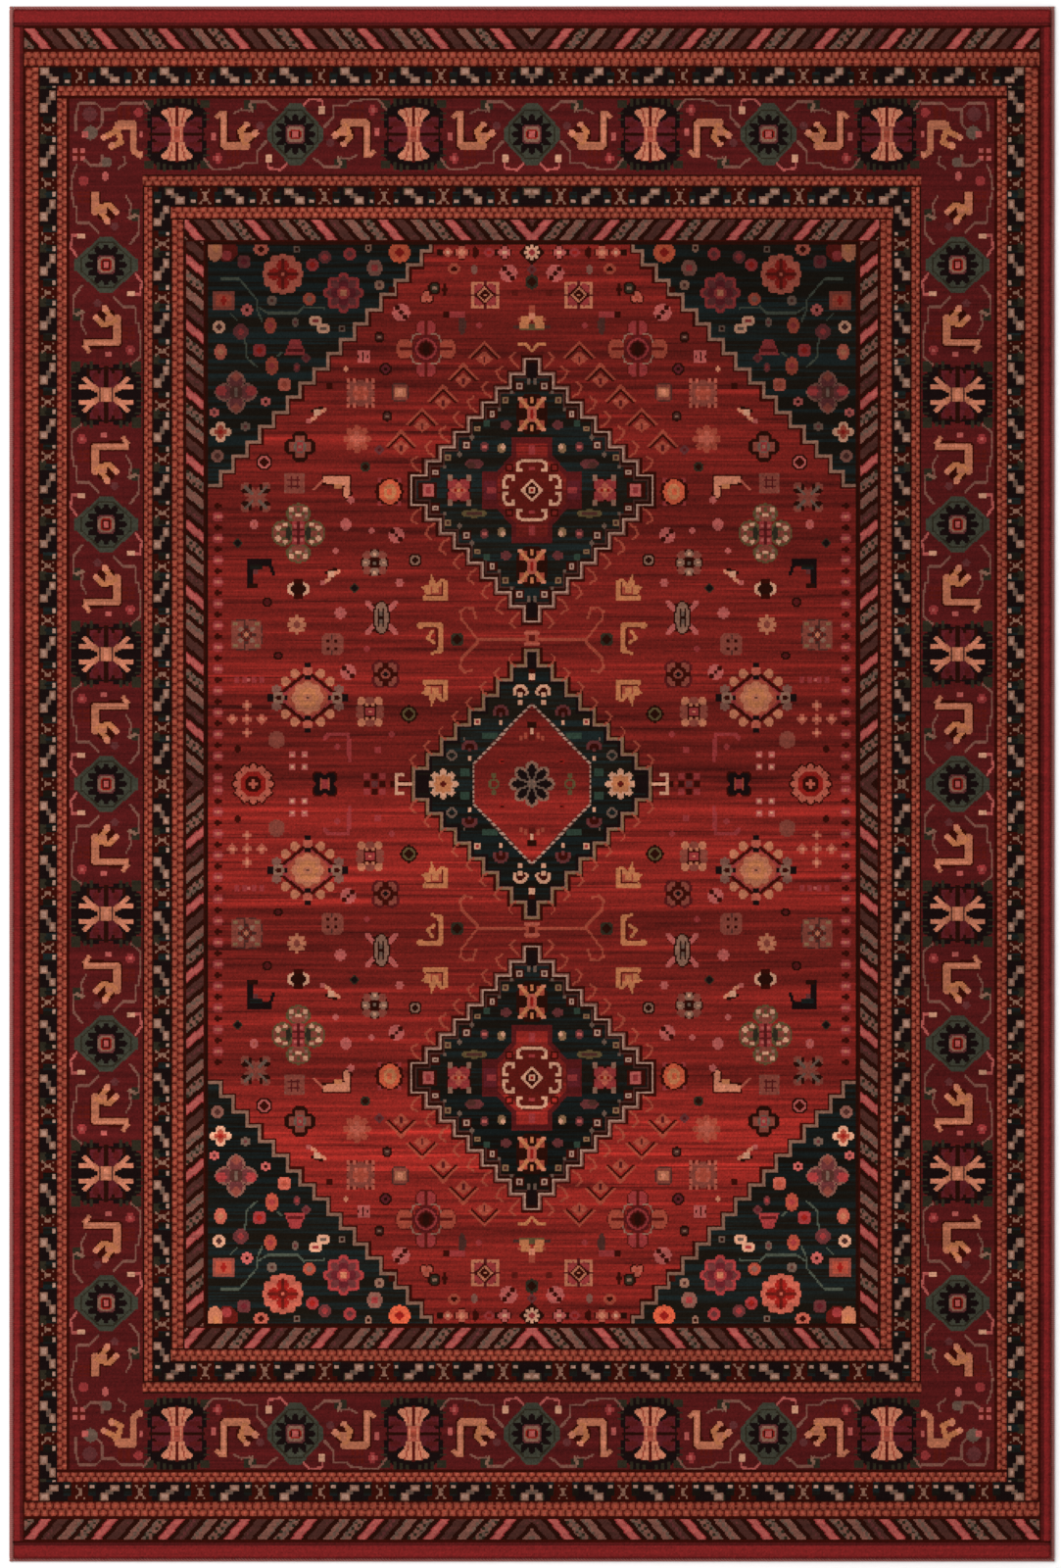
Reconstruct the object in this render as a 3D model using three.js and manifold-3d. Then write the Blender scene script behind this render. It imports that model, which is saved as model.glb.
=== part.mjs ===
// A machine-woven wool area rug with no fringe, lying flat and face up.
//
// The ground weave is one sheet of warp and weft. The cut wool pile stands on it. Each long side is a selvedge:
// a cord lies along the edge of the ground weave, and overcast yarn is wrapped round both. Each short end is cut,
// and a folded tape, sewn through with one row of thread, closes it. Four tacks finish the ends of the overcasting.
//
// Units are millimetres. +X runs across the rug, +Y along it and +Z up. The origin is on the floor, under the middle.
import * as THREE from "three";
import { mergeVertices } from "three/addons/utils/BufferGeometryUtils.js";
import Module from "manifold-3d";

const wasm = await Module();
wasm.setup();

// Driving dimensions
const RUG_WIDTH = 1345; // over the overcast sides
const RUG_LENGTH = 2000; // over the taped ends
const CLEARANCE = 0.3; // between a piece and the next

const GROUND_THICKNESS = 3.2;
const PILE_HEIGHT = 7.5;
const PILE_SHOULDER = 2.5; // radius of the pile's upper edge, where the outer tufts lean outwards

const OVERCAST_YARN = 1.2; // thickness of one layer of wrapped yarn
const OVERCAST_WIDTH = 5.5; // how far the wraps reach in from the side of the rug
const OVERCAST_ROUND = 2; // outer radius of the wraps

const CORD_FACETS = 12;

const TAPE_THICKNESS = 1.2;
const TAPE_FACE_WIDTH = 4.5; // the part of the tape that shows beside the pile
const TAPE_BACK_WIDTH = 22; // the part of the tape that is turned under
const TAPE_ROUND = 1.8; // outer radius of the fold

const THREAD_RADIUS = 0.25;
const THREAD_INSET = 18; // from the end of the rug to the row of sewing
const THREAD_FACETS = 8;

const TACK_LENGTH = 3; // along the side, at each end of the overcasting

const ARC_STEPS = 5; // straight steps in each quarter round

// Heights
const groundTop = GROUND_THICKNESS;
const pileFoot = groundTop + CLEARANCE;
const pileTop = pileFoot + PILE_HEIGHT;
const overcastTop = groundTop + CLEARANCE + OVERCAST_YARN;
const edgeUnderside = OVERCAST_YARN + CLEARANCE; // the ground weave is pressed thin inside the wraps
const endUnderside = TAPE_THICKNESS + CLEARANCE; // and where the tape passes under it
const tapeTop = groundTop + CLEARANCE + TAPE_THICKNESS;

// Places across the rug, measured from its middle to the right
const rugSide = RUG_WIDTH / 2;
const overcastInner = rugSide - OVERCAST_WIDTH;
const cordDiameter = groundTop - edgeUnderside; // as thick as the pressed edge beside it
const cordCentreX = rugSide - OVERCAST_YARN - CLEARANCE - cordDiameter / 2;
const groundSide = cordCentreX - cordDiameter / 2 - CLEARANCE;
const betweenSides = overcastInner - CLEARANCE;

// Places along the rug, measured from its middle to the head end
const rugEnd = RUG_LENGTH / 2;
const groundEnd = rugEnd - TAPE_THICKNESS - CLEARANCE;
const tackInner = rugEnd - TACK_LENGTH;
const overcastEnd = tackInner - CLEARANCE;
const tapeFaceInner = rugEnd - TAPE_FACE_WIDTH;
const tapeBackInner = rugEnd - TAPE_BACK_WIDTH;
const pileEnd = tapeFaceInner - CLEARANCE;

const materials = {
  pile: new THREE.MeshStandardMaterial({ color: 0x7d1f1f, roughness: 0.95, metalness: 0 }),
  ground: new THREE.MeshStandardMaterial({ color: 0xa08a68, roughness: 0.95, metalness: 0 }),
  overcast: new THREE.MeshStandardMaterial({ color: 0x7a1f20, roughness: 0.9, metalness: 0 }),
  cord: new THREE.MeshStandardMaterial({ color: 0xcbbfa5, roughness: 0.95, metalness: 0 }),
  tape: new THREE.MeshStandardMaterial({ color: 0x5c1a19, roughness: 0.9, metalness: 0 }),
  thread: new THREE.MeshStandardMaterial({ color: 0x6a1517, roughness: 0.6, metalness: 0 }),
};

// A three.js geometry as a closed solid that can be cut
function toSolid(geometry) {
  const bare = new THREE.BufferGeometry().setAttribute("position", geometry.getAttribute("position"));
  if (geometry.index) bare.setIndex(geometry.index);
  const merged = mergeVertices(bare, 1e-4);
  return new wasm.Manifold(
    new wasm.Mesh({
      numProp: 3,
      vertProperties: merged.attributes.position.array,
      triVerts: new Uint32Array(merged.index.array),
    }),
  );
}

function toGeometry(solid) {
  const mesh = solid.getMesh();
  const geometry = new THREE.BufferGeometry();
  geometry.setAttribute("position", new THREE.BufferAttribute(mesh.vertProperties, 3));
  geometry.setIndex(new THREE.BufferAttribute(mesh.triVerts, 1));
  const faceted = geometry.toNonIndexed();
  faceted.computeVertexNormals();
  return faceted;
}

// A box from its lowest corner to its highest corner
function boxBetween([x0, y0, z0], [x1, y1, z1]) {
  const box = new THREE.BoxGeometry(x1 - x0, y1 - y0, z1 - z0);
  return box.translate((x0 + x1) / 2, (y0 + y1) / 2, (z0 + z1) / 2);
}

// A section drawn as (x, z) and carried along Y, centred on the middle of the rug
function alongY(shape, length) {
  const made = new THREE.ExtrudeGeometry(shape, { depth: length, bevelEnabled: false, curveSegments: ARC_STEPS });
  return made.translate(0, 0, -length / 2).rotateX(Math.PI / 2);
}

// A section drawn as (y, z) and carried along X, centred on the middle of the rug
function alongX(shape, length) {
  const made = new THREE.ExtrudeGeometry(shape, { depth: length, bevelEnabled: false, curveSegments: ARC_STEPS });
  return made.translate(0, 0, -length / 2).rotateX(Math.PI / 2).rotateZ(Math.PI / 2);
}

// The corner that is left outside a quarter round of this radius, with the corner itself at (0, 0)
function shoulderWaste(radius) {
  const shape = new THREE.Shape();
  shape.moveTo(-radius, 0);
  shape.absarc(-radius, -radius, radius, Math.PI / 2, 0, true);
  shape.lineTo(radius, -radius);
  shape.lineTo(radius, radius);
  shape.lineTo(-radius, radius);
  return shape;
}

// A fold that is closed on its outer side and open inwards. outer is where it ends, innerLow and innerHigh are
// how far its two legs reach, and top is its height; the lower leg lies on the floor.
function foldShape(outer, innerLow, innerHigh, top, thickness, radius) {
  const shape = new THREE.Shape();
  shape.moveTo(innerLow, 0);
  shape.lineTo(outer - radius, 0);
  shape.absarc(outer - radius, radius, radius, -Math.PI / 2, 0, false);
  shape.lineTo(outer, top - radius);
  shape.absarc(outer - radius, top - radius, radius, 0, Math.PI / 2, false);
  shape.lineTo(innerHigh, top);
  shape.lineTo(innerHigh, top - thickness);
  shape.lineTo(outer - thickness, top - thickness);
  shape.lineTo(outer - thickness, thickness);
  shape.lineTo(innerLow, thickness);
  return shape;
}

function woolPile() {
  let pile = toSolid(boxBetween([-betweenSides, -pileEnd, pileFoot], [betweenSides, pileEnd, pileTop]));
  const waste = shoulderWaste(PILE_SHOULDER);
  for (const turn of [0, Math.PI]) {
    const side = alongY(waste, RUG_LENGTH).translate(betweenSides, 0, pileTop).rotateZ(turn);
    const end = alongX(waste, RUG_WIDTH).translate(0, pileEnd, pileTop).rotateZ(turn);
    pile = pile.subtract(toSolid(side)).subtract(toSolid(end));
  }
  return toGeometry(pile);
}

// One sheet, pressed thin from below along the sides and the ends, with its corners notched to clear the tacks
function groundWeave() {
  let sheet = toSolid(boxBetween([-groundSide, -groundEnd, 0], [groundSide, groundEnd, groundTop]));
  const wrapRoom = overcastInner - CLEARANCE;
  const tapeRoom = tapeBackInner - CLEARANCE;
  for (const turn of [0, Math.PI]) {
    const side = boxBetween([wrapRoom, -rugEnd, -1], [rugSide, rugEnd, edgeUnderside]).rotateZ(turn);
    const end = boxBetween([-rugSide, tapeRoom, -1], [rugSide, rugEnd, endUnderside]).rotateZ(turn);
    sheet = sheet.subtract(toSolid(side)).subtract(toSolid(end));
    for (const corner of [
      boxBetween([wrapRoom, overcastEnd, -1], [rugSide, rugEnd, groundTop + 1]),
      boxBetween([-rugSide, overcastEnd, -1], [-wrapRoom, rugEnd, groundTop + 1]),
    ]) {
      sheet = sheet.subtract(toSolid(corner.rotateZ(turn)));
    }
  }
  return toGeometry(sheet);
}

// The wraps of overcast yarn as one folded band, on the right side
function overcasting() {
  const shape = foldShape(rugSide, overcastInner, overcastInner, overcastTop, OVERCAST_YARN, OVERCAST_ROUND);
  return alongY(shape, 2 * overcastEnd);
}

// The last wraps, drawn together over the end of the selvedge, at the head of the right side
function cornerTack() {
  const shape = new THREE.Shape();
  shape.moveTo(overcastInner, 0);
  shape.lineTo(rugSide - OVERCAST_ROUND, 0);
  shape.absarc(rugSide - OVERCAST_ROUND, OVERCAST_ROUND, OVERCAST_ROUND, -Math.PI / 2, 0, false);
  shape.lineTo(rugSide, overcastTop - OVERCAST_ROUND);
  shape.absarc(rugSide - OVERCAST_ROUND, overcastTop - OVERCAST_ROUND, OVERCAST_ROUND, 0, Math.PI / 2, false);
  shape.lineTo(overcastInner, overcastTop);
  return alongY(shape, TACK_LENGTH).translate(0, (rugEnd + tackInner) / 2, 0);
}

// The tape at the head end, with a groove on its underside where the thread sinks in
function endTape() {
  const shape = foldShape(rugEnd, tapeBackInner, tapeFaceInner, tapeTop, TAPE_THICKNESS, TAPE_ROUND);
  const groove = THREAD_RADIUS + CLEARANCE;
  const threadY = rugEnd - THREAD_INSET;
  const tape = toSolid(alongX(shape, 2 * betweenSides));
  const sunk = boxBetween([-rugSide, threadY - groove, -1], [rugSide, threadY + groove, 2 * THREAD_RADIUS + CLEARANCE]);
  return toGeometry(tape.subtract(toSolid(sunk)));
}

function endThread() {
  const thread = new THREE.CylinderGeometry(THREAD_RADIUS, THREAD_RADIUS, 2 * betweenSides, THREAD_FACETS);
  return thread.rotateZ(Math.PI / 2).translate(0, rugEnd - THREAD_INSET, THREAD_RADIUS);
}

function selvedgeCord() {
  const radius = cordDiameter / 2;
  const cord = new THREE.CylinderGeometry(radius, radius, 2 * overcastEnd, CORD_FACETS);
  return cord.translate(cordCentreX, 0, (groundTop + edgeUnderside) / 2);
}

const rug = new THREE.Group();

// Adds a node. turn is the angle about +Z from where the piece is drawn to where it lies.
function add(name, geometry, material, turn = 0) {
  const mesh = new THREE.Mesh(geometry, material);
  mesh.name = name;
  mesh.rotation.z = turn;
  rug.add(mesh);
}

add("wool_pile", woolPile(), materials.pile);
add("ground_weave", groundWeave(), materials.ground);

// Pieces of the right side, and the same pieces turned half round for the left side
for (const [side, turn] of [["right", 0], ["left", Math.PI]]) {
  add(`selvedge_cord_${side}`, selvedgeCord(), materials.cord, turn);
  add(`overcasting_${side}`, overcasting(), materials.overcast, turn);
}

// Pieces of the head end, and the same pieces turned half round for the foot end
for (const [end, turn] of [["head", 0], ["foot", Math.PI]]) {
  add(`end_tape_${end}`, endTape(), materials.tape, turn);
  add(`end_thread_${end}`, endThread(), materials.thread, turn);
}

// The tack drawn at the head of the right side serves the foot of the left side when it is turned half round.
// The other two are its mirror image.
for (const [name, turn, mirrored] of [
  ["corner_tack_head_right", 0, false],
  ["corner_tack_foot_left", Math.PI, false],
  ["corner_tack_foot_right", 0, true],
  ["corner_tack_head_left", Math.PI, true],
]) {
  const tack = cornerTack();
  if (mirrored) tack.translate(0, -(rugEnd + tackInner), 0);
  add(name, tack, materials.overcast, turn);
}

export default rug;
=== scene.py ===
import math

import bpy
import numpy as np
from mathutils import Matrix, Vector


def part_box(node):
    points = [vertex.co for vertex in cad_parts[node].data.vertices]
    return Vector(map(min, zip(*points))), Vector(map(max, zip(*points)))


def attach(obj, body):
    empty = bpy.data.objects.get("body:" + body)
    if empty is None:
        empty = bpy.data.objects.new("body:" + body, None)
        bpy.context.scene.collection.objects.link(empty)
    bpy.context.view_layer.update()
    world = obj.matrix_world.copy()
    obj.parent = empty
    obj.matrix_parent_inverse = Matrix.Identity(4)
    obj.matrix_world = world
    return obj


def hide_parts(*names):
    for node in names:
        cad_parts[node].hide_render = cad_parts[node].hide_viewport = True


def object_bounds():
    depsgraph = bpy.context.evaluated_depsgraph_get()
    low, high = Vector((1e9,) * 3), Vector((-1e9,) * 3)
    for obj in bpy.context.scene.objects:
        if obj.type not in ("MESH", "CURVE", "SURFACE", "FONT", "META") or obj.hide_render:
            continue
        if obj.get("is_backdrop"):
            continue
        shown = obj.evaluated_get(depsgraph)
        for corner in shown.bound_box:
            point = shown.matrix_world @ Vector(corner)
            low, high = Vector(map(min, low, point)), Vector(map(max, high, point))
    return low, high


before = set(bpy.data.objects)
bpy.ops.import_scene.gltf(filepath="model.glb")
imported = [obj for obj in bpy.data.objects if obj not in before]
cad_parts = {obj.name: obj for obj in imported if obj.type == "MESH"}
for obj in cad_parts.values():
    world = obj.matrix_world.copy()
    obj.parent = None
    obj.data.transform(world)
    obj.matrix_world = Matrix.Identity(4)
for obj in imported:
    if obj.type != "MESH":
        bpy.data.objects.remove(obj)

# %% [markdown]
# An area rug, machine woven in wool, about 1.35 m by 2 m.
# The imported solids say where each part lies: the pile, the ground weave that holds it, the overcast
# sides, the taped ends, the sewing thread and the tacks in the corners.
# Here each of them gets the surface that a hand or an eye would find on the real rug.
# The pattern is made as a weaver makes it: one quarter is drawn on squared paper, a knot to a square,
# and the loom mirrors it both ways.

MM = 0.001
cad_low, cad_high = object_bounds()
print("solid model, from", tuple(cad_low), "to", tuple(cad_high))


def node_box(node):
    """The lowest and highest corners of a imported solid, as two arrays in metres."""
    low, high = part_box(node)
    return np.array(low), np.array(high)


PILE_LOW, PILE_HIGH = node_box("wool_pile")
GROUND_LOW, GROUND_HIGH = node_box("ground_weave")
print("pile", PILE_LOW, PILE_HIGH)

# %% [markdown]
# The rug is seen from straight above, as a shop shows a rug, so that the pattern has no perspective.
# A long lens from far away does that. The floor is plain and pale, and the light is a bright even
# sky with one broad soft lamp to the left, which makes the pile's relief show a little.

# %% Camera, floor and light
FRAME_HEIGHT = 2.0159
CAMERA_HEIGHT = 20.0
FRAME_SHIFT = -0.0018
IMAGE_WIDE, IMAGE_TALL = 1083, 1600
SENSOR_HEIGHT = 36.0
SKY_STRENGTH = 0.62
LAMP_LEFT, LAMP_BACK, LAMP_HIGH = 1.9, 0.5, 4.2
LAMP_SIZE, LAMP_WATTS = 3.0, 170.0
FLOOR_REACH = 60

camera_data = bpy.data.cameras.new("camera")
camera_data.sensor_fit = "VERTICAL"
camera_data.sensor_height = SENSOR_HEIGHT
camera_data.sensor_width = SENSOR_HEIGHT * IMAGE_WIDE / IMAGE_TALL
camera_data.lens = camera_data.sensor_height * (CAMERA_HEIGHT - cad_high[2]) / FRAME_HEIGHT
camera_data.clip_end = 100.0
camera = bpy.data.objects.new("camera", camera_data)
camera.location = (FRAME_SHIFT, 0.0, CAMERA_HEIGHT)
bpy.context.scene.collection.objects.link(camera)
bpy.context.scene.camera = camera
bpy.context.scene.view_settings.view_transform = "Standard"

world = bpy.data.worlds.new("studio")
world.use_nodes = True
world.node_tree.nodes["Background"].inputs["Color"].default_value = (1.0, 0.99, 0.98, 1.0)
world.node_tree.nodes["Background"].inputs["Strength"].default_value = SKY_STRENGTH
bpy.context.scene.world = world

lamp_data = bpy.data.lights.new("broad lamp", "AREA")
lamp_data.shape = "RECTANGLE"
lamp_data.size = LAMP_SIZE
lamp_data.size_y = LAMP_SIZE
lamp_data.energy = LAMP_WATTS
lamp = bpy.data.objects.new("broad lamp", lamp_data)
lamp.location = (-LAMP_LEFT, LAMP_BACK, LAMP_HIGH)
tilt = math.atan2(math.hypot(LAMP_LEFT, LAMP_BACK), LAMP_HIGH)
lamp.rotation_euler = (tilt, 0.0, math.atan2(LAMP_LEFT, LAMP_BACK) + math.pi)
bpy.context.scene.collection.objects.link(lamp)

floor_mesh = bpy.data.meshes.new("floor")
floor_corners = [(x * FLOOR_REACH, y * FLOOR_REACH, 0) for x, y in ((-1, -1), (1, -1), (1, 1), (-1, 1))]
floor_mesh.from_pydata(floor_corners, [], [(0, 1, 2, 3)])
floor = bpy.data.objects.new("floor", floor_mesh)
bpy.context.scene.collection.objects.link(floor)
floor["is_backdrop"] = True
floor_finish = bpy.data.materials.new("pale floor")
floor_finish.use_nodes = True
floor_shader = floor_finish.node_tree.nodes["Principled BSDF"]
floor_shader.inputs["Base Color"].default_value = (0.93, 0.93, 0.93, 1.0)
floor_shader.inputs["Roughness"].default_value = 0.9
floor_mesh.materials.append(floor_finish)
print("camera", round(camera_data.lens), "mm lens,", CAMERA_HEIGHT, "m above the floor")

# %% [markdown]
# The squared paper. A machine-woven rug of this quality has a knot every 2 mm both ways.
# A knot's place is told by two numbers: how many knots it lies out from the middle across the rug,
# and how many it lies out from the middle along it. One quarter is enough, because the other three
# are its mirror images.

# %% The squared paper for one quarter
KNOTS_ACROSS = 333
KNOTS_ALONG = 498
OUT, UP = np.meshgrid(np.arange(KNOTS_ACROSS) + 0.5, np.arange(KNOTS_ALONG) + 0.5)
knot_wide = (PILE_HIGH[0] - PILE_LOW[0]) / (2 * KNOTS_ACROSS)
knot_long = (PILE_HIGH[1] - PILE_LOW[1]) / (2 * KNOTS_ALONG)
print("a knot is", round(knot_wide / MM, 3), "by", round(knot_long / MM, 3), "mm")

# %% [markdown]
# The yarns. The loom holds a few dyed wools, and each square of the paper names one of them.
# Their colours are written as a dyer's card shows them, from 0 to 255, and turned to the linear
# values that Blender works in.

# %% The dyed yarns
DYED = {
    "red": (115, 30, 25), "plain": (115, 30, 30), "claret": (75, 20, 20), "wine": (50, 10, 5),
    "brick": (80, 20, 15), "dark": (35, 10, 5), "black": (20, 10, 10), "night": (20, 15, 10),
    "teal": (55, 55, 45), "green": (40, 55, 45), "moss": (40, 35, 25), "olive": (80, 65, 40),
    "khaki": (115, 85, 60), "gold": (165, 100, 65), "cream": (180, 130, 105), "sand": (120, 85, 70),
    "bone": (150, 115, 100), "grey": (90, 70, 60), "mauve": (85, 40, 40), "plum": (80, 25, 30),
    "brown": (65, 35, 30), "salmon": (155, 75, 60), "peach": (180, 110, 85), "rose": (130, 45, 45),
    "pink": (155, 75, 70), "orange": (175, 75, 50), "scarlet": (125, 25, 20), "maroon": (50, 10, 5),
    "link": (140, 60, 45), "blush": (110, 70, 60), "braid": (120, 55, 40), "tan": (160, 95, 70),
    "sage": (60, 65, 55), "fawn": (115, 55, 45),
}
YARNS = list(DYED)
YARN = {name: number for number, name in enumerate(YARNS)}


def linear(colour):
    """Colours from 0 to 255 as linear light: the curve of the sRGB standard undone."""
    share = np.asarray(colour, float) / 255.0
    return np.where(share <= 0.04045, share / 12.92, ((share + 0.055) / 1.055) ** 2.4)


print(len(YARNS), "yarns")

# %% [markdown]
# Drawing on the squared paper. Each shape below takes the two distances of every knot from a
# motif's middle and answers which knots it covers. Numbers are in knots.

# %% Shapes that cover knots


def bar(u, v, at_u, at_v, wide, tall):
    """A rectangle: both distances are at most half a side."""
    return (abs(u - at_u) <= wide / 2) & (abs(v - at_v) <= tall / 2)


def oval(u, v, at_u, at_v, half_u, half_v):
    """An ellipse: the squares of the two distances, each over its half axis, add up to at most 1."""
    return ((u - at_u) / half_u) ** 2 + ((v - at_v) / half_v) ** 2 <= 1


def disc(u, v, at_u, at_v, radius):
    """A round spot: an ellipse with equal axes."""
    return oval(u, v, at_u, at_v, radius, radius)


def ring(u, v, at_u, at_v, radius, width):
    """A ring: the distance from the middle is within half a width of the radius."""
    return abs(np.hypot(u - at_u, v - at_v) - radius) <= width / 2


def lozenge(u, v, at_u, at_v, half_u, half_v):
    """A diamond: the two distances, each over its half axis, add up to at most 1."""
    return abs(u - at_u) / half_u + abs(v - at_v) / half_v <= 1


def gem(u, v, half_u, half_v, cut):
    """A rectangle with cut corners: the two distances, each over its half side, add up to at most cut."""
    return (abs(u) <= half_u) & (abs(v) <= half_v) & (abs(u) / half_u + abs(v) / half_v <= cut)


def bloom(u, v, at_u, at_v, count, radius, waist, turn=0.0):
    """A flower's outline: its radius swings between waist and 1 of the full one, count times round."""
    angle = np.arctan2(v - at_v, u - at_u) - math.radians(turn)
    reach = waist + (1 - waist) * abs(np.cos(angle * count / 2)) ** 0.7
    return np.hypot(u - at_u, v - at_v) <= radius * reach


def stroke(u, v, width, *points):
    """A bent line: the distance from the nearest of its straight runs is at most half a width."""
    near = np.full(u.shape, np.inf)
    for (u0, v0), (u1, v1) in zip(points, points[1:]):
        run_u, run_v = u1 - u0, v1 - v0
        share = ((u - u0) * run_u + (v - v0) * run_v) / (run_u**2 + run_v**2)
        share = np.clip(share, 0, 1)
        near = np.minimum(near, np.hypot(u - u0 - share * run_u, v - v0 - share * run_v))
    return near <= width / 2


def patch(u, v, *corners):
    """A polygon: a ray from the knot crosses its outline an odd number of times."""
    inside = np.zeros(u.shape, bool)
    for (u0, v0), (u1, v1) in zip(corners, corners[1:] + corners[:1]):
        if v0 != v1:
            crosses = ((v0 > v) != (v1 > v)) & (u < (u1 - u0) * (v - v0) / (v1 - v0) + u0)
            inside ^= crosses
    return inside


def steps(u, v, tip, tread, rise, count, grow=0.0):
    """A diamond with stairs for sides: count steps, each a tread across and a rise along."""
    step = np.clip(np.ceil((abs(u) - grow - tip) / tread), 0, None)
    return (step < count) & (abs(v) - grow <= rise * (count - step))


# %% The quarter and how a motif is woven into it
quarter = np.full(OUT.shape, YARN["red"], np.uint8)


def cover(layers, u, v, inside):
    """Lay a motif's layers in order, at the distances u and v from its middle."""
    for name, shape, *numbers in layers:
        quarter[shape(u, v, *numbers) & inside] = YARN[name]


def weave(layers, at=(0, 0), fold="", flip=False, inside=True):
    """Weave a motif, a list of (yarn, shape, numbers), with its middle at the knot `at`.

    flip turns it upside down, and fold mirrors it about its own middle: o for out and in, u for up
    and down.
    """
    u, v = OUT - at[0], UP - at[1]
    if flip:
        v = -v
    if "o" in fold:
        u = abs(u)
    if "u" in fold:
        v = abs(v)
    cover(layers, u, v, inside)


# %% [markdown]
# The borders. From the edge inwards come a plain red band, a band of slanting stripes at the ends
# only, then guard bands of small links on both sides of a black band, the broad main border, the
# same guards again, and a last band of slanting stripes around the field.
# The loom packs the weft more tightly than the warp, so each band counts more knots at the ends.

# %% The bands, from the edge inwards
BANDS = [  # name, knots wide along the sides, knots wide along the ends
    ("plain", 7, 11), ("outer stripes", 0, 15), ("outer chain", 10, 10.5), ("outer black", 10.5, 12),
    ("second chain", 8, 8), ("main border", 47.5, 49.5), ("third chain", 7, 7.5), ("inner black", 11, 12.5),
    ("inner chain", 9, 8.5), ("stripes", 13, 14), ("field edge", 2, 2),
]
inner_side = KNOTS_ACROSS - np.cumsum([side for name, side, end in BANDS])
inner_end = KNOTS_ALONG - np.cumsum([end for name, side, end in BANDS])
band_out = np.sum(OUT[..., None] < inner_side, axis=2)
band_up = np.sum(UP[..., None] < inner_end, axis=2)
print("the field is", 2 * inner_side[-1], "by", 2 * inner_end[-1], "knots")


def band_parts(name):
    """For a band, at the ends and then at the sides: which knots, how far along, and how far out."""
    index = [band[0] for band in BANDS].index(name)
    at_end = (band_up == index) & (band_out >= index)
    at_side = (band_out == index) & (band_up > index)
    width_side, width_end = BANDS[index][1:]
    return (
        (at_end, OUT, UP - inner_end[index], width_end),
        (at_side, UP, OUT - inner_side[index], width_side),
    )


def lay(mask, name):
    quarter[mask] = YARN[name]


# %% [markdown]
# The plain band and the links. A link is a small rusty oval with a salmon heart; the ovals are woven
# in two staggered rows, one to about five knots.

# %% Plain band and chain guards
LINK_PITCH = 5.35
for mask, along, out, width in band_parts("plain"):
    lay(mask, "plain")
    lay(mask & (out < 3), "claret")
    lay(mask & (out < 1), "wine")
for name in ("outer chain", "second chain", "third chain", "inner chain"):
    for mask, along, out, width in band_parts(name):
        place = out - width / 2
        lay(mask, "brick")
        side = np.where(place > 0, 0.0, LINK_PITCH / 2)
        step = np.mod(along + side, LINK_PITCH) - LINK_PITCH / 2
        row = abs(place) - (width - 1.6) / 4
        link = (abs(step) / 2.1) ** 2 + (row / ((width - 1) / 4)) ** 2
        lay(mask & (link < 1.15), "braid")
        lay(mask & (link < 0.5), "link")
        lay(mask & (link < 0.16), "salmon")
        lay(mask & (abs(place) > width / 2 - 0.8), "dark")
        if name in ("outer chain", "second chain"):
            edge = out > width - 1 if name == "outer chain" else out < 1.2
            lay(mask & edge, "wine")

# %% [markdown]
# The slanting stripes. Four of them follow each other, 10 or 11 knots apart, with a dark line
# between them: pink, smoky brown, and two of dusty pink with flecks. In a band all of them lean the
# same way, up to the middle, where the mirror turns them.

# %% Slanting stripes
STRIPE_PERIOD = 42.7
STRIPE_LEAN = 0.85
for name, starts in (("outer stripes", (8.7, 0)), ("stripes", (-9.6, 11.0))):
    for (mask, along, out, width), start in zip(band_parts(name), starts):
        lean = (0.5 - STRIPE_LEAN / 2) * (2 * out - width) * (1 if along is OUT else -1)
        place = np.mod(start - (OUT - UP) - lean + STRIPE_PERIOD / 8, STRIPE_PERIOD)
        number = np.floor(place / (STRIPE_PERIOD / 4)).astype(int)
        middle = abs(np.mod(place, STRIPE_PERIOD / 4) - STRIPE_PERIOD / 8)
        lay(mask, "dark")
        for kind, yarn in enumerate(("rose", "brown", "blush", "blush")):
            lay(mask & (number == kind) & (middle < 3.4), yarn)
        speckle = np.mod(np.floor(along / 2) + np.floor(out / 2), 3) == 0
        lay(mask & (number == 3) & (middle < 3.4) & speckle, "moss")
        speckle = np.mod(np.floor(along / 2) - np.floor(out / 3), 4) == 0
        lay(mask & (number > 1) & (middle < 3.4) & speckle, "grey")
        lay(mask & (number == 0) & (middle < 2.4), "pink")
        lay(mask & (number == 1) & (middle < 1.4) & speckle, "mauve")
        lay(mask & ((out < 0.8) | (out > width - 1)), "wine")
for mask, along, out, width in band_parts("field edge"):
    lay(mask, "dark")

# %% [markdown]
# The two black bands carry an hourglass, a pair of pale blocks that step down to the next one, and
# a pale dot on each side of the glass.

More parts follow.
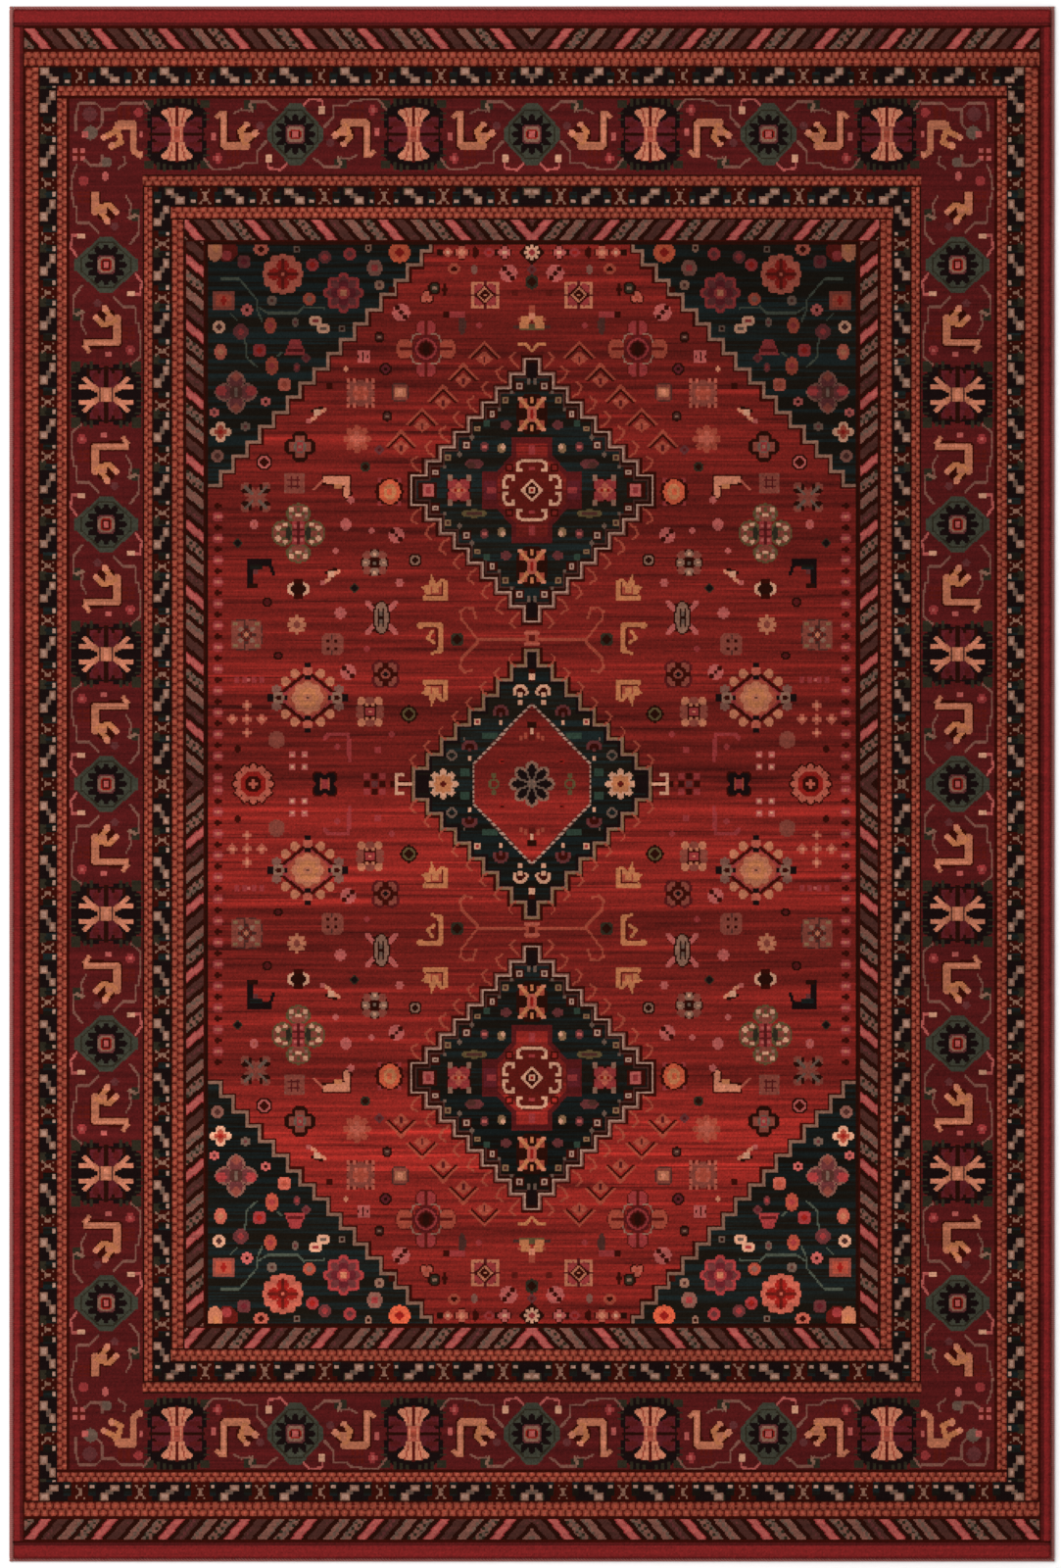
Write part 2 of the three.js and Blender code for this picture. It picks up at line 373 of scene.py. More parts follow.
# %% Black bands with hourglasses
GLASSES = {  # band: (first glass, pitch, outer block, inner block, dots) at the ends and at the sides
    "outer black": ((20, 38.6, 23, 16.5, 8), (0, 35.1, 14, 22, 6.5)),
    "inner black": ((18.4, 38.3, 22.5, 16, 8), (1.5, 34.6, 14, 22, 6.5)),
}
for name, laid_out in GLASSES.items():
    for (mask, along, out, width), numbers in zip(band_parts(name), laid_out):
        first, pitch, outer_block, inner_block, dots = numbers
        step = np.mod(along - first + pitch / 2, pitch) - pitch / 2
        turn = np.mod(along - first, pitch)
        place = out - width / 2
        waist = 1.0 + 4.6 * (abs(place) / (width / 2)) ** 1.8
        lay(mask, "black")
        lay(mask & (abs(step) < 8), "maroon")
        lay(mask & (abs(abs(step) - dots) < 2.4) & (place < 3), "night")
        lay(mask & (abs(turn - inner_block - 7) < 3) & (place > 1), "moss")
        lay(mask & (abs(step) < waist) & (abs(place) < width / 2 - 1.0), "sand")
        lay(mask & (abs(step) < 1.8) & (abs(place) > width / 2 - 3.2), "maroon")
        between = (outer_block + inner_block) / 2
        lay(mask & (abs(turn - between) < 2.4) & (abs(place) < 1.4), "grey")
        lay(mask & (abs(turn - outer_block) < 2.8) & (abs(place - 2.8) < 2.4), "sand")
        lay(mask & (abs(turn - outer_block) < 1.8) & (abs(place - 2.8) < 1.4), "bone")
        lay(mask & (abs(turn - inner_block) < 2.8) & (abs(place + 2.6) < 2.2), "sand")
        lay(mask & (abs(turn - inner_block) < 1.8) & (abs(place + 2.8) < 1.2), "bone")
        lay(mask & (abs(abs(step) - dots) < 1.4) & (abs(place + 3.6) < 1.0), "bone")
        lay(mask & (abs(abs(step) - dots) < 0.8) & (abs(place) < 2.6), "night")

# %% [markdown]
# The main border is a frieze of two flowers that take turns: a green one and a salmon one with two
# fans. Between them runs a bird-shaped hook with a vine behind it. Turning the strip half round
# about any flower gives the same strip again, so only the stretch from a green flower to the next
# salmon one is drawn, and the distance along the border is folded back onto it.

# %% The flowers of the main border
GREEN_FLOWER = [
    ("claret", gem, 21, 24, 1.42), ("teal", gem, 17.6, 20, 1.2), ("moss", gem, 15, 16, 1.3),
    ("teal", gem, 13.5, 15, 1.3), ("black", bloom, 0, 0, 12, 13.4, 0.62),
    ("black", disc, 0, 0, 8.6), ("mauve", gem, 6, 5.8, 1.7), ("sand", gem, 5.2, 5, 1.6),
    ("scarlet", gem, 3.6, 3.4, 1.7), ("maroon", gem, 2.6, 2.4, 2), ("pink", gem, 1.5, 1.5, 2),
]
SALMON_FLOWER = [
    ("claret", bar, 0, 0, 44, 48), ("black", gem, 19, 22.5, 1.62), ("moss", bar, 18, 19.5, 6, 5),
    ("moss", bar, 4, 21.5, 1.6, 3), ("moss", bar, 8, 21.5, 1.6, 4), ("moss", bar, 12, 20.5, 1.6, 4),
    ("moss", bar, 19, 13.5, 3, 1.6), ("moss", bar, 19, 9.5, 4, 1.6), ("claret", bar, 19.5, 0, 4, 8),
    ("dark", bar, 9, 0, 14, 24), ("plum", gem, 16, 10, 1.25), ("plum", bar, 12, 8, 7, 5),
    ("plum", bar, 9.5, 12, 3, 3), ("claret", oval, 11.5, 6.5, 3.6, 2), ("dark", bar, 10, 0, 16, 2.4),
    ("black", patch, (0, 6), (0, 19), (11.5, 19), (11.5, 10), (7, 8)),
]
FANS = [
    ("peach", patch, (0, 4.6), (4.4, 4.6), (6, 9), (9.8, 12.8), (9.8, 15.4), (6, 16), (5, 17), (0, 17)),
    ("link", stroke, 0.9, (3, 7), (5.4, 16.4)), ("brick", bar, 0, 11, 1.2, 14),
    ("salmon", bar, 0, 0, 8, 9.4), ("link", bar, 0, 0, 5, 4), ("peach", bar, 2.8, 0, 1.2, 8.4),
]
CROSSED_PRONGS = [
    ("tan", stroke, 4, (2.6, 5), (5.4, 9.6)), ("peach", stroke, 2.6, (5, 9), (5, 16.6)),
    ("peach", stroke, 3, (5, 8.6), (10, 13.8)), ("black", bar, 0, 11, 2.2, 13), ("tan", bar, 0, 0, 9, 11),
    ("brown", bar, 0, 4.2, 8, 1.0), ("peach", bar, 0, 0, 7, 2.4),
]


def along_border(shift):
    """Layers between two flowers; shift stretches their places along the border."""

    def at(s, t):
        return (s * shift, t)

    return [
        ("moss", bar, *at(29, 19), 8, 5), ("sand", stroke, 2.2, at(29, 19), at(27.5, 15)),
        ("blush", stroke, 1.6, at(28, 21), at(19, 21), at(12, 15.5)), ("mauve", disc, *at(22.5, 5.5), 2.6),
        ("blush", stroke, 1.3, at(58.5, -16), at(53.5, -22.2), at(43, -22.2),
         at(34.5, -20.8), at(33.8, -18.7), at(25, -18.7)),
        ("blush", stroke, 1.7, at(24.5, -18), at(24.5, -11), at(19, -5)),
        ("pink", stroke, 1.5, at(17.5, -19), at(17.5, -21.6), at(10, -23), at(5.6, -19)),
        ("cream", bar, *at(17, -15.6), 3.4, 5),
        ("brick", bar, *at(40, -14.5), 8, 8), ("claret", bar, *at(41.5, -14.5), 1.4, 8),
        ("claret", bar, *at(38.5, -14.5), 1.4, 8), ("claret", bar, *at(40, -15), 8, 1.2),
        ("maroon", stroke, 6.4, at(46, 12), at(45.6, -7.2), at(33, -7.2)),
        ("maroon", disc, *at(31.5, 0), 6.6),
        ("blush", stroke, 1.3, at(40, 13), at(35, 16), at(29, 15)),
        ("tan", stroke, 3.0, at(50.2, 11.4), at(47.4, 13.6), at(45.6, 12.4)),
        ("tan", stroke, 3.9, at(45.6, 13), at(45.6, -7)),
        ("tan", stroke, 5.2, at(45, -7.2), at(31.6, -7.2)),
        ("peach", stroke, 1.3, at(49.6, 12.2), at(46, 13), at(46, -6)), ("peach", disc, *at(46, 1), 1.2),
        ("gold", stroke, 3.4, at(32.5, -5.8), at(29.4, -2), at(25.8, 1)),
        ("peach", disc, *at(25.6, 0.6), 2.2),
        ("gold", stroke, 3.4, at(33.6, -4), at(35.2, 2), at(31.4, 6.2)),
        ("peach", disc, *at(31.2, 6.4), 2.0),
        ("tan", bar, *at(31, -2), 3, 5),
        ("rose", bar, *at(49.8, -15.5), 6.4, 3.4), ("rose", bar, *at(49.8, -15.5), 3.4, 6.4),
        ("pink", bar, *at(49.8, -15.5), 2.4, 2.4), ("pink", bar, *at(52.2, -1.4), 3.2, 4.2),
    ]


print(len(GREEN_FLOWER) + len(SALMON_FLOWER) + len(along_border(1.0)), "layers in the frieze")

# %% Weave the main border
HALF_REPEAT_END, HALF_REPEAT_SIDE = 76.0, 83.5
MIDDLE_END, MIDDLE_SIDE = 418.0, 273.5
CORNER_OUT, CORNER_UP = 252, 383
SALMON_HALF = 22
FRIEZE = (  # half a repeat, which side is out, place across the band, distance along it, prongs
    (HALF_REPEAT_END, 1, UP - MIDDLE_END, OUT, FANS),
    (HALF_REPEAT_SIDE, -1, OUT - MIDDLE_SIDE, UP, CROSSED_PRONGS),
)
for (mask, along, out, width), (half, side, place, distance, prongs) in zip(
    band_parts("main border"), FRIEZE
):
    lay(mask, "claret")
    run = np.mod(distance, 2 * half)
    back = run > half
    run = np.where(back, 2 * half - run, run)
    across = np.where(back, -side * place, side * place)
    limit = mask & ((OUT < CORNER_OUT) | (UP < CORNER_UP))
    cover(GREEN_FLOWER, run, abs(across), limit)
    cover(SALMON_FLOWER + prongs, half - run, abs(across), limit & (half - run < SALMON_HALF))
    cover(along_border(half / HALF_REPEAT_END), run, across, limit)

# %% The corners of the main border
weave([
    ("claret", bar, 274, 410, 48, 62), ("grey", disc, 283.5, 419, 4.6), ("mauve", disc, 284, 431, 4.6),
    ("blush", stroke, 1.4, (293, 420), (293, 430), (291, 438), (280, 438), (276, 434), (276, 425),
     (279, 421)),
    ("blush", stroke, 1.4, (276, 434), (268, 434), (264, 438), (250, 438), (244, 434)),
    ("pink", bar, 287, 418, 3.6, 4.6), ("pink", bar, 291, 405, 7.4, 8.4),
    ("brick", bar, 291, 405, 7.4, 1.2), ("brick", bar, 291, 405, 1.2, 8.4),
    ("blush", stroke, 1.3, (292, 399), (295, 392), (296, 382)), ("grey", disc, 273.5, 400, 3.4),
    ("blush", stroke, 1.7, (287, 401), (283, 398), (277, 398), (276, 404)),
    ("brick", bar, 262, 432, 8, 7), ("claret", bar, 262, 432, 1.2, 7), ("rose", disc, 252.6, 432, 3),
    ("pink", bar, 250, 418, 3, 4.4), ("gold", stroke, 3.4, (266, 423), (269, 419), (275, 416)),
    ("gold", stroke, 3.4, (266, 421), (264, 413), (270, 410)), ("peach", disc, 275, 416, 2),
    ("peach", disc, 270, 410.6, 2), ("tan", stroke, 5, (266, 424), (256, 424)),
    ("tan", stroke, 3.9, (255.6, 424.6), (255.6, 407), (251.6, 404.4)),
    ("peach", stroke, 2.4, (252, 404.4), (249, 407)),
    ("blush", stroke, 1.4, (262, 404), (261, 399), (266, 396)), ("rose", disc, 288, 388, 3.2),
    ("pink", oval, 274, 391, 2.4, 3.2),
], inside=(OUT > 250) & (UP > 381) & (OUT < 297) & (UP < 441))
print("borders woven")

# %% [markdown]
# The field is a red ground with three stepped diamonds on its middle line. Its four corners are cut
# off by dark spandrels with a stepped edge, full of small flowers on vines.

# %% Spandrel
STAIR_TREAD = 8.63
STAIR_RISE = 9.44
STAIRS = 16
TOP_STAIR_OUT, TOP_STAIR_UP = 65, 343
FIRST_STAIR = 71
field = (OUT < inner_side[-1]) & (UP < inner_end[-1])


def spandrel(grow):
    """Knots beyond the stairs: a stair's foot falls one rise for each tread further out."""
    stair = np.clip(np.floor((OUT + grow - FIRST_STAIR) / STAIR_TREAD) + 1, 0, STAIRS)
    return (OUT + grow >= TOP_STAIR_OUT) & (UP + grow >= TOP_STAIR_UP - STAIR_RISE * stair) & field


lay(spandrel(2.2), "wine")
lay(spandrel(1.0), "sand")
lay(spandrel(-1.0), "night")
dark_corner = spandrel(-1.5)
SPANDREL_VINES = [
    [(200, 325), (188, 325), (177, 312), (176, 304), (173, 297)],
    [(176, 307), (170, 303), (150, 303), (147, 307), (133, 306)],
    [(187, 296), (184, 284), (183, 274), (176, 268)], [(194, 303), (189, 298)], [(160, 278), (164, 275)],
]
weave([("sage", stroke, 1.1, *points) for points in SPANDREL_VINES], inside=dark_corner)
CORNER_SPOTS = [  # yarn of the petals, yarn of the heart, out, up, half width, half height
    ("rose", "mauve", 117, 341, 4.2, 4), ("mauve", "rose", 133, 339, 4, 4),
    ("rose", "scarlet", 141, 334, 4, 4.4), ("blush", "rose", 101, 332, 5, 5.4),
    ("sand", "brown", 98, 321, 3, 3), ("sand", "dark", 105, 345, 2.4, 3),
    ("orange", "scarlet", 85, 342, 7, 6.6), ("salmon", "maroon", 174, 344, 4.6, 4),
    ("mauve", "plum", 185, 336, 4.4, 4.4), ("grey", "dark", 151, 344, 2.4, 2.4),
    ("grey", "brown", 167, 311, 3, 3), ("link", "blush", 143, 312, 4, 4),
    ("cream", "brown", 201, 294, 4, 3.8), ("link", "rose", 168, 295, 4, 5),
    ("grey", "mauve", 152, 297, 2.4, 3), ("cream", "rose", 139, 298, 4, 3.4),
    ("cream", "grey", 134, 293, 4, 3.4), ("grey", "dark", 122, 293, 2.2, 2.4),
    ("mauve", "rose", 187, 291, 4.8, 4.8), ("rose", "scarlet", 175, 279, 4.4, 4.4),
    ("salmon", "tan", 200, 278, 3.8, 5), ("mauve", "plum", 145, 274, 3, 2.6),
    ("link", "rose", 167, 269, 4.4, 5.6), ("salmon", "link", 159, 257, 4.4, 4.4),
    ("mauve", "rose", 151, 268, 2.4, 2.6), ("pink", "dark", 171, 246, 3.2, 2.6),
    ("pink", "mauve", 204, 239, 3.4, 2.6), ("grey", "mauve", 184, 230, 3, 2.8),
    ("blush", "brown", 202, 211, 4.4, 4), ("pink", "dark", 183, 305, 3.6, 3.6),
]
weave([
    ("salmon", bloom, 160, 328, 12, 13.4, 0.88), ("scarlet", bloom, 160, 328, 4, 9.6, 0.4, 0),
    ("brick", bar, 160, 328, 1.4, 20), ("brick", bar, 160, 328, 20, 1.4),
    ("brick", disc, 160, 328, 3.2), ("salmon", bar, 160, 328, 2.2, 2.2),
    ("rose", bloom, 121, 316, 8, 13, 0.72), ("mauve", bloom, 121, 316, 8, 11, 0.6),
    ("plum", bloom, 121, 316, 4, 8, 0.4), ("rose", disc, 121, 316, 4), ("tan", disc, 121, 316, 2.2),
    ("blush", bloom, 190, 252, 4, 13.6, 0.5, 0), ("mauve", bloom, 190, 252, 4, 11.6, 0.4, 0),
    ("rose", oval, 199.6, 253, 3.4, 3.2), ("rose", oval, 180.4, 253, 3.4, 3.2),
    ("fawn", oval, 190, 262, 2.6, 3), ("fawn", oval, 190, 242, 2.6, 3), ("brown", disc, 190, 252, 4.4),
    ("grey", bar, 190, 252, 2, 5), ("fawn", bar, 198, 311, 13, 12.6), ("link", bar, 198, 311, 9, 8.6),
    ("scarlet", bar, 198, 311, 4.4, 2.4), ("scarlet", bar, 198, 311, 2, 5),
    ("brick", disc, 196, 343, 7), ("rose", disc, 196, 340, 3.4), ("tan", oval, 203.6, 343, 5, 7),
    ("gold", oval, 203, 345, 2.4, 3), ("rose", patch, (145, 276), (159, 276), (155, 286), (149, 286)),
    ("claret", bar, 152, 279, 10, 2.6), ("cream", bloom, 200, 226.5, 4, 6.8, 0.55, 0),
    ("link", bloom, 200, 226.5, 4, 4.2, 0.6, 0), ("scarlet", disc, 200, 226.5, 1.6),
], inside=dark_corner)
HEART_SHARE = 0.42
weave([(petals, oval, *numbers) for petals, heart, *numbers in CORNER_SPOTS], inside=dark_corner)
for petals, heart, out, up, wide, high in CORNER_SPOTS:
    weave([(heart, oval, out, up, wide * HEART_SHARE, high * HEART_SHARE)], inside=dark_corner)
print("spandrel covers", round(float(dark_corner.mean()) * 100, 1), "% of the quarter")

# %% [markdown]
# The diamonds. The outer two are alike and mirror each other, so the quarter holds half of one,
# with its middle 189 knots up, and a quarter of the middle one.

# %% Outer diamond
OUTER_MIDDLE = 189
OUTER_STEPS = (5.0, 9.05, 9.4, 9)
weave([
    ("wine", steps, *OUTER_STEPS, 2.2), ("blush", steps, *OUTER_STEPS, 0.8),
    ("bone", steps, *OUTER_STEPS, 0.1), ("dark", steps, *OUTER_STEPS, -0.9),
    ("brown", steps, *OUTER_STEPS, -2.6), ("night", steps, *OUTER_STEPS, -3.4),
], at=(0, OUTER_MIDDLE))
outer_ground = steps(OUT, UP - OUTER_MIDDLE, *OUTER_STEPS, -2.2)
STEP_DOTS = [(13, 63), (21, 52), (30, 42), (38.5, 34), (46.5, 23), (56, 15)]
STEP_SQUARES = [
    ("bone", 8, 67), ("bone", 25.3, 49), ("bone", 42, 29), ("bone", 62, 11.5), ("khaki", 17, 58),
    ("khaki", 35, 39.5), ("khaki", 54, 21),
]
weave([("grey", disc, across, along, 1.5) for across, along in STEP_DOTS]
      + [("maroon", bar, across, along, 6.4, 6.4) for yarn, across, along in STEP_SQUARES if yarn == "bone"]
      + [(yarn, bar, across, along, 3.6, 3.6) for yarn, across, along in STEP_SQUARES]
      + [("brown", bar, across, along, 1.4, 1.4) for yarn, across, along in STEP_SQUARES],
      at=(0, OUTER_MIDDLE), fold="u", inside=outer_ground)
weave([
    ("maroon", bar, 67, 0, 11, 10), ("pink", bar, 66.8, 0, 7, 7), ("rose", bar, 66.8, 0, 3, 3),
    ("dark", bloom, 47, 0, 4, 10, 0.62, 45), ("rose", bloom, 47, 0, 4, 8.6, 0.56, 45),
    ("salmon", bloom, 47, 0, 4, 5, 0.6), ("scarlet", bar, 47, 0, 5, 2), ("gold", bar, 47, 0, 2, 2),
    ("sand", bar, 52.6, 8, 2.6, 3), ("sand", bar, 40.6, 8, 2.6, 3), ("mauve", disc, 30.5, 28, 3),
    ("pink", disc, 30.5, 28, 1.4), ("khaki", oval, 19.5, 27, 2.6, 3.4), ("cream", disc, 18.5, 28, 1.6),
    ("mauve", oval, 16.6, 42, 3.4, 3), ("green", bar, 29, 43, 3, 3),
], at=(0, OUTER_MIDDLE), fold="u", inside=outer_ground)
weave([("mauve", oval, 37, 17, 6, 3.4), ("brown", oval, 39, 16, 3, 1.8), ("olive", oval, 37, -15, 8, 2.6),
       ("brown", oval, 37, -15, 5, 1.2)], at=(0, OUTER_MIDDLE), inside=outer_ground)
weave([
    ("claret", bar, 0, 0, 26, 68), ("claret", bar, 0, 0, 64, 24), ("claret", gem, 26, 28, 1.3),
    ("plum", bar, 27, 0, 8, 12), ("red", bar, 0, 0, 20, 60), ("red", gem, 21.5, 23, 1.4),
    ("brick", gem, 20, 21, 1.3), ("rose", bar, 0, 26, 3, 5), ("rose", bar, 26, 0, 5, 4),
    ("maroon", bar, 14.6, 14.6, 5, 5), ("red", bar, 14.6, 14.6, 2.6, 2.6),
    ("cream", stroke, 1.9, (0, 18.6), (6.6, 18.6), (9.4, 17), (8.8, 12.8)),
    ("cream", bar, 8, 12.8, 3.6, 2.4),
    ("cream", stroke, 1.9, (18.2, 1.8), (18.2, 6), (16.4, 9.2), (12.6, 9)),
    ("cream", bar, 12, 8, 2.4, 3.8), ("cream", bar, 16.6, 1.6, 3.4, 1.8), ("rose", bar, 0, 14.4, 3, 2),
    ("cream", lozenge, 0, 0, 7.2, 7.8), ("maroon", lozenge, 0, 0, 4.9, 5.4),
    ("cream", bar, 0, 0, 3.2, 4), ("scarlet", bar, 0, 0, 1, 2),
], at=(0, OUTER_MIDDLE), fold="ou", inside=outer_ground)
weave([("black", bar, 0, 77, 5, 12), ("blush", bar, 0, 77, 0.9, 10), ("grey", bar, 2.4, 70, 2, 3)],
      at=(0, OUTER_MIDDLE), fold="ou", inside=outer_ground)
CROSSED_LEAVES = [
    ("dark", gem, 10, 13, 1.5), ("link", bar, 5.4, 7.4, 5.4, 6),
    ("gold", stroke, 2.4, (1, 1.6), (7, 9.6)), ("peach", bar, 7.6, 10, 2.6, 2.4),
    ("salmon", oval, 0, 0, 3.4, 5.4), ("scarlet", bar, 0, 0, 2.2, 5), ("gold", bar, 0, 9, 1.6, 3),
]
weave(CROSSED_LEAVES, at=(0, OUTER_MIDDLE + 49), fold="ou")
weave(CROSSED_LEAVES, at=(0, OUTER_MIDDLE - 49), fold="ou")
tip, tread, rise, count = OUTER_STEPS
print("outer diamond", 2 * int(tip + (count - 1) * tread), "knots wide")

# %% Middle diamond
MIDDLE_STEPS = (4.0, 8.95, 9.5, 9)
weave([
    ("wine", steps, *MIDDLE_STEPS, 2.6), ("khaki", steps, *MIDDLE_STEPS, 1.0),
    ("sand", steps, *MIDDLE_STEPS, 0.2), ("black", steps, *MIDDLE_STEPS, -0.8),
    ("night", steps, *MIDDLE_STEPS, -2.4),
])
middle_ground = steps(OUT, UP, *MIDDLE_STEPS, -1.8)
HEXAGON = [(0, 51.5), (37.5, 13), (37.5, 0)]


def arch(yarn, heart, across, along):
    """A little arch over a spot: a ring whose lower half is covered by the ground."""
    return [
        (yarn, disc, across, along, 5), ("maroon", disc, across, along, 3),
        ("night", bar, across, along - 4.4, 11, 5), (yarn, bar, across, along - 1.4, 2.4, 2.4),
        (heart, bar, across, along - 6.6, 2.8, 2.8),
    ]


weave([
    ("red", patch, (0, 51), (37, 13), (37, -13), (0, -51), (-37, -13), (-37, 13)),
    *arch("cream", "cream", 7.4, 59), *arch("mauve", "cream", 20, 46),
    *arch("mauve", "cream", 40, 23.4), ("cream", bar, 35, 40, 4, 4), ("rose", bar, 35, 40, 1.4, 1.4),
    ("grey", ring, 51.5, 18.4, 2.8, 1.4), ("green", bar, 43, 7.5, 5.6, 5.6),
    ("cream", bloom, 57, 0, 8, 10, 0.6), ("gold", bloom, 57, 0, 8, 6.6, 0.6), ("brick", disc, 57, 0, 2),
    ("maroon", bar, 0, 70, 4.4, 8), ("cream", bar, 0, 69, 3.4, 4), ("green", bar, 27, 31, 9, 4),
    ("black", bar, 70, 0, 7, 12), ("grey", bar, 43.5, 29, 1.6, 2), ("black", bar, 0, 79, 4, 9),
], fold="ou", inside=middle_ground)
weave([("brown", stroke, 1.7, *HEXAGON)], fold="ou")
weave([("bone", stroke, 1.5, *HEXAGON)], fold="ou", inside=np.mod(np.floor(UP), 3) > 0)
weave([
    ("sand", bloom, 0, 0, 8, 14.6, 0.74), ("black", bloom, 0, 0, 8, 12.6, 0.5),
    ("sand", bar, 0, 0, 3.4, 3.4), ("grey", stroke, 1.3, (0, 0), (9, 3.8)),
    ("grey", stroke, 1.3, (0, 0), (3.8, 9)), ("olive", ring, 24.4, 0, 2.8, 1.6),
    ("olive", bar, 24.4, 5.4, 3, 2.4), ("scarlet", disc, 19.4, 14.5, 1.8),
    ("dark", disc, 19.4, 14.5, 1.0), ("dark", bar, 0, 38, 6, 4), ("cream", bar, 0, 33.6, 2, 4),
    ("link", bar, 4, 31.4, 2, 4), ("link", bar, 7.4, 29.6, 2, 3), ("brick", bar, 0, 30, 4, 3),
], fold="ou", inside=patch(OUT, UP, (-1, 50), (0, 48), (34, 12), (34, -1), (-1, -1)))
weave([
    ("maroon", bar, 85, 0, 12, 3), ("cream", bar, 87, 0, 2, 13), ("cream", bar, 85, 6, 5, 1.6),
    ("cream", bar, 82, 0, 9, 1.6),
], fold="ou")
print("middle diamond woven")

# %% [markdown]
# Around the diamonds: a small hook sits in every step, rows of open chevrons stand above them, and a
# forked branch joins the middle diamond to the outer ones.

# %% Hooks, chevrons and branches
HOOK = [("link", stroke, 1.4, (0, 9.5), (4, 6.5), (2, 2.5), (-2, -0.5))]
for step in range(8):
    across, along = 10 + 9.1 * step, 79.5 - 9.6 * step
    weave(HOOK, at=(across, OUTER_MIDDLE + along))
    weave(HOOK, at=(across, OUTER_MIDDLE - along), flip=True)
    weave([
        ("link", stroke, 1.2, (0, 6), (3, 3), (1.5, 0), (-1.5, -2)),
    ], at=(12 + 9 * step, 78 - 9.4 * step))
CHEVRON = [
    ("link", stroke, 1.5, (0, 0), (9.4, -9.6)), ("maroon", stroke, 1.5, (0, -2.4), (8, -10.4)),
    ("link", patch, (-5.8, -10.2), (0, -5.6), (5.8, -10.2), (0, -15)), ("salmon", bar, 2.6, -9.6, 2, 1.6),
    ("claret", bar, 0, -11, 1.2, 3),
]
for across, along in ((30.5, 284), (44, 270), (57, 256), (70.5, 241), (84, 227)):
    weave(CHEVRON, at=(across, along), fold="o")
weave([
    ("link", stroke, 1.5, (36, 107), (38, 113), (43, 113.5), (46, 111), (45, 106), (35, 93), (4, 93)),
    ("link", stroke, 1.5, (35, 91), (45, 81), (46, 75), (43, 72), (39, 73)), ("link", bar, 0, 94, 8, 9),
    ("salmon", bar, 0, 97.4, 10, 2), ("salmon", bar, 0, 90, 10, 2), ("brick", bar, 0, 94, 3, 3),
    ("gold", stroke, 1.7, (8.6, 283), (4, 283), (0, 278.6)),
])
print("5 chevrons and 24 hooks in the quarter")

# %% [markdown]
# The small motifs of the field are told by a short list: what it is and where its middle goes.
# Each kind is a flower, cross, ring, square, bird or comb such as a weaver knows by heart.


# %% Small motifs


def dot(yarn, radius, heart="", heart_radius=0.0):
    """A spot of one wool, with a smaller one of another in its middle."""
    return [(yarn, disc, 0, 0, radius)] + ([(heart, disc, 0, 0, heart_radius)] if heart else [])


def eyelet(yarn, radius, heart):
    """A ring with a dark rim and a spot in its middle."""
    return [
        ("dark", disc, 0, 0, radius), (yarn, disc, 0, 0, radius - 1.4),
        (heart, disc, 0, 0, radius - 2.8),
    ]


def flower(petal, heart, count, radius, waist=0.6, turn=0.0):
    """A flower with a thin dark outline, petals and a heart."""
    return [
        ("wine", bloom, 0, 0, count, radius + 1.0, waist, turn),
        (petal, bloom, 0, 0, count, radius, waist, turn),
        (heart, disc, 0, 0, radius * 0.36),
    ]


def pinwheel(yarn, radius):
    """Two pale petals and two dark ones that take turns round a heart."""
    far = radius * 0.52
    return [
        (yarn, disc, 0, 0, radius), ("maroon", bar, far, far, far, far),
        ("maroon", bar, -far, -far, far, far),
        ("wine", disc, 0, 0, radius * 0.3),
    ]


SQUARE_FLOWER = [
    ("tan", bar, 0, 0, 18, 17), ("claret", bar, 0, 0, 14.6, 13.6), ("claret", bar, 8.4, 0, 3, 1.6),
    ("claret", bar, 0, 8, 1.6, 3), ("rose", bloom, 0, 0, 4, 8.6, 0.5, 45),
    ("maroon", lozenge, 0, 0, 6.6, 6.6), ("tan", lozenge, 0, 0, 5.4, 5.4),
    ("maroon", lozenge, 0, 0, 3.6, 3.6), ("tan", bar, 0, 0, 1.6, 1.6),
]
COMB = [
    ("fawn", bar, 0, 0, 17.4, 17.4), ("brick", bar, 2.2, 8.4, 1.1, 1.6),
    ("brick", bar, 6, 8.4, 1.1, 1.6), ("brick", bar, 8.4, 2.2, 1.6, 1.1),
    ("brick", bar, 8.4, 6, 1.6, 1.1), ("salmon", bar, 4, 8, 2, 2.4), ("salmon", bar, 8, 4, 2.4, 2),
    ("salmon", bar, 8, 8, 2.2, 2.2), ("link", gem, 4.6, 4.6, 1.6), ("salmon", bar, 3, 3, 2, 2),
]
GRID = [
    ("fawn", bar, 0, 0, 13.4, 12.6), ("claret", bar, 2.2, 0, 1.1, 8), ("claret", bar, 0, 2.2, 8, 1.1),
    ("blush", bar, 5.6, 5.2, 1, 1),
]
PINWHEEL = [
    ("fawn", stroke, 7, (3, 3), (6.4, 6)), ("dark", oval, 6.8, 4.2, 2.4, 1.9),
    ("dark", oval, 3.4, 6.6, 1.3, 1.8), ("grey", stroke, 1.6, (0, 0), (7, 7)),
    ("fawn", disc, 0, 0, 2.6),
]
CROSS_FLOWER = [
    ("dark", bloom, 0, 0, 4, 10.2, 0.72, 0), ("fawn", bar, 0, 0, 6.4, 13), ("fawn", bar, 0, 0, 13, 6.4),
    ("dark", bar, 4.6, 4.6, 1.2, 1.2), ("grey", gem, 3.6, 3.6, 1.5), ("rose", bar, 0, 0, 3, 5),
    ("sand", bar, 0, 0, 1, 2),
]
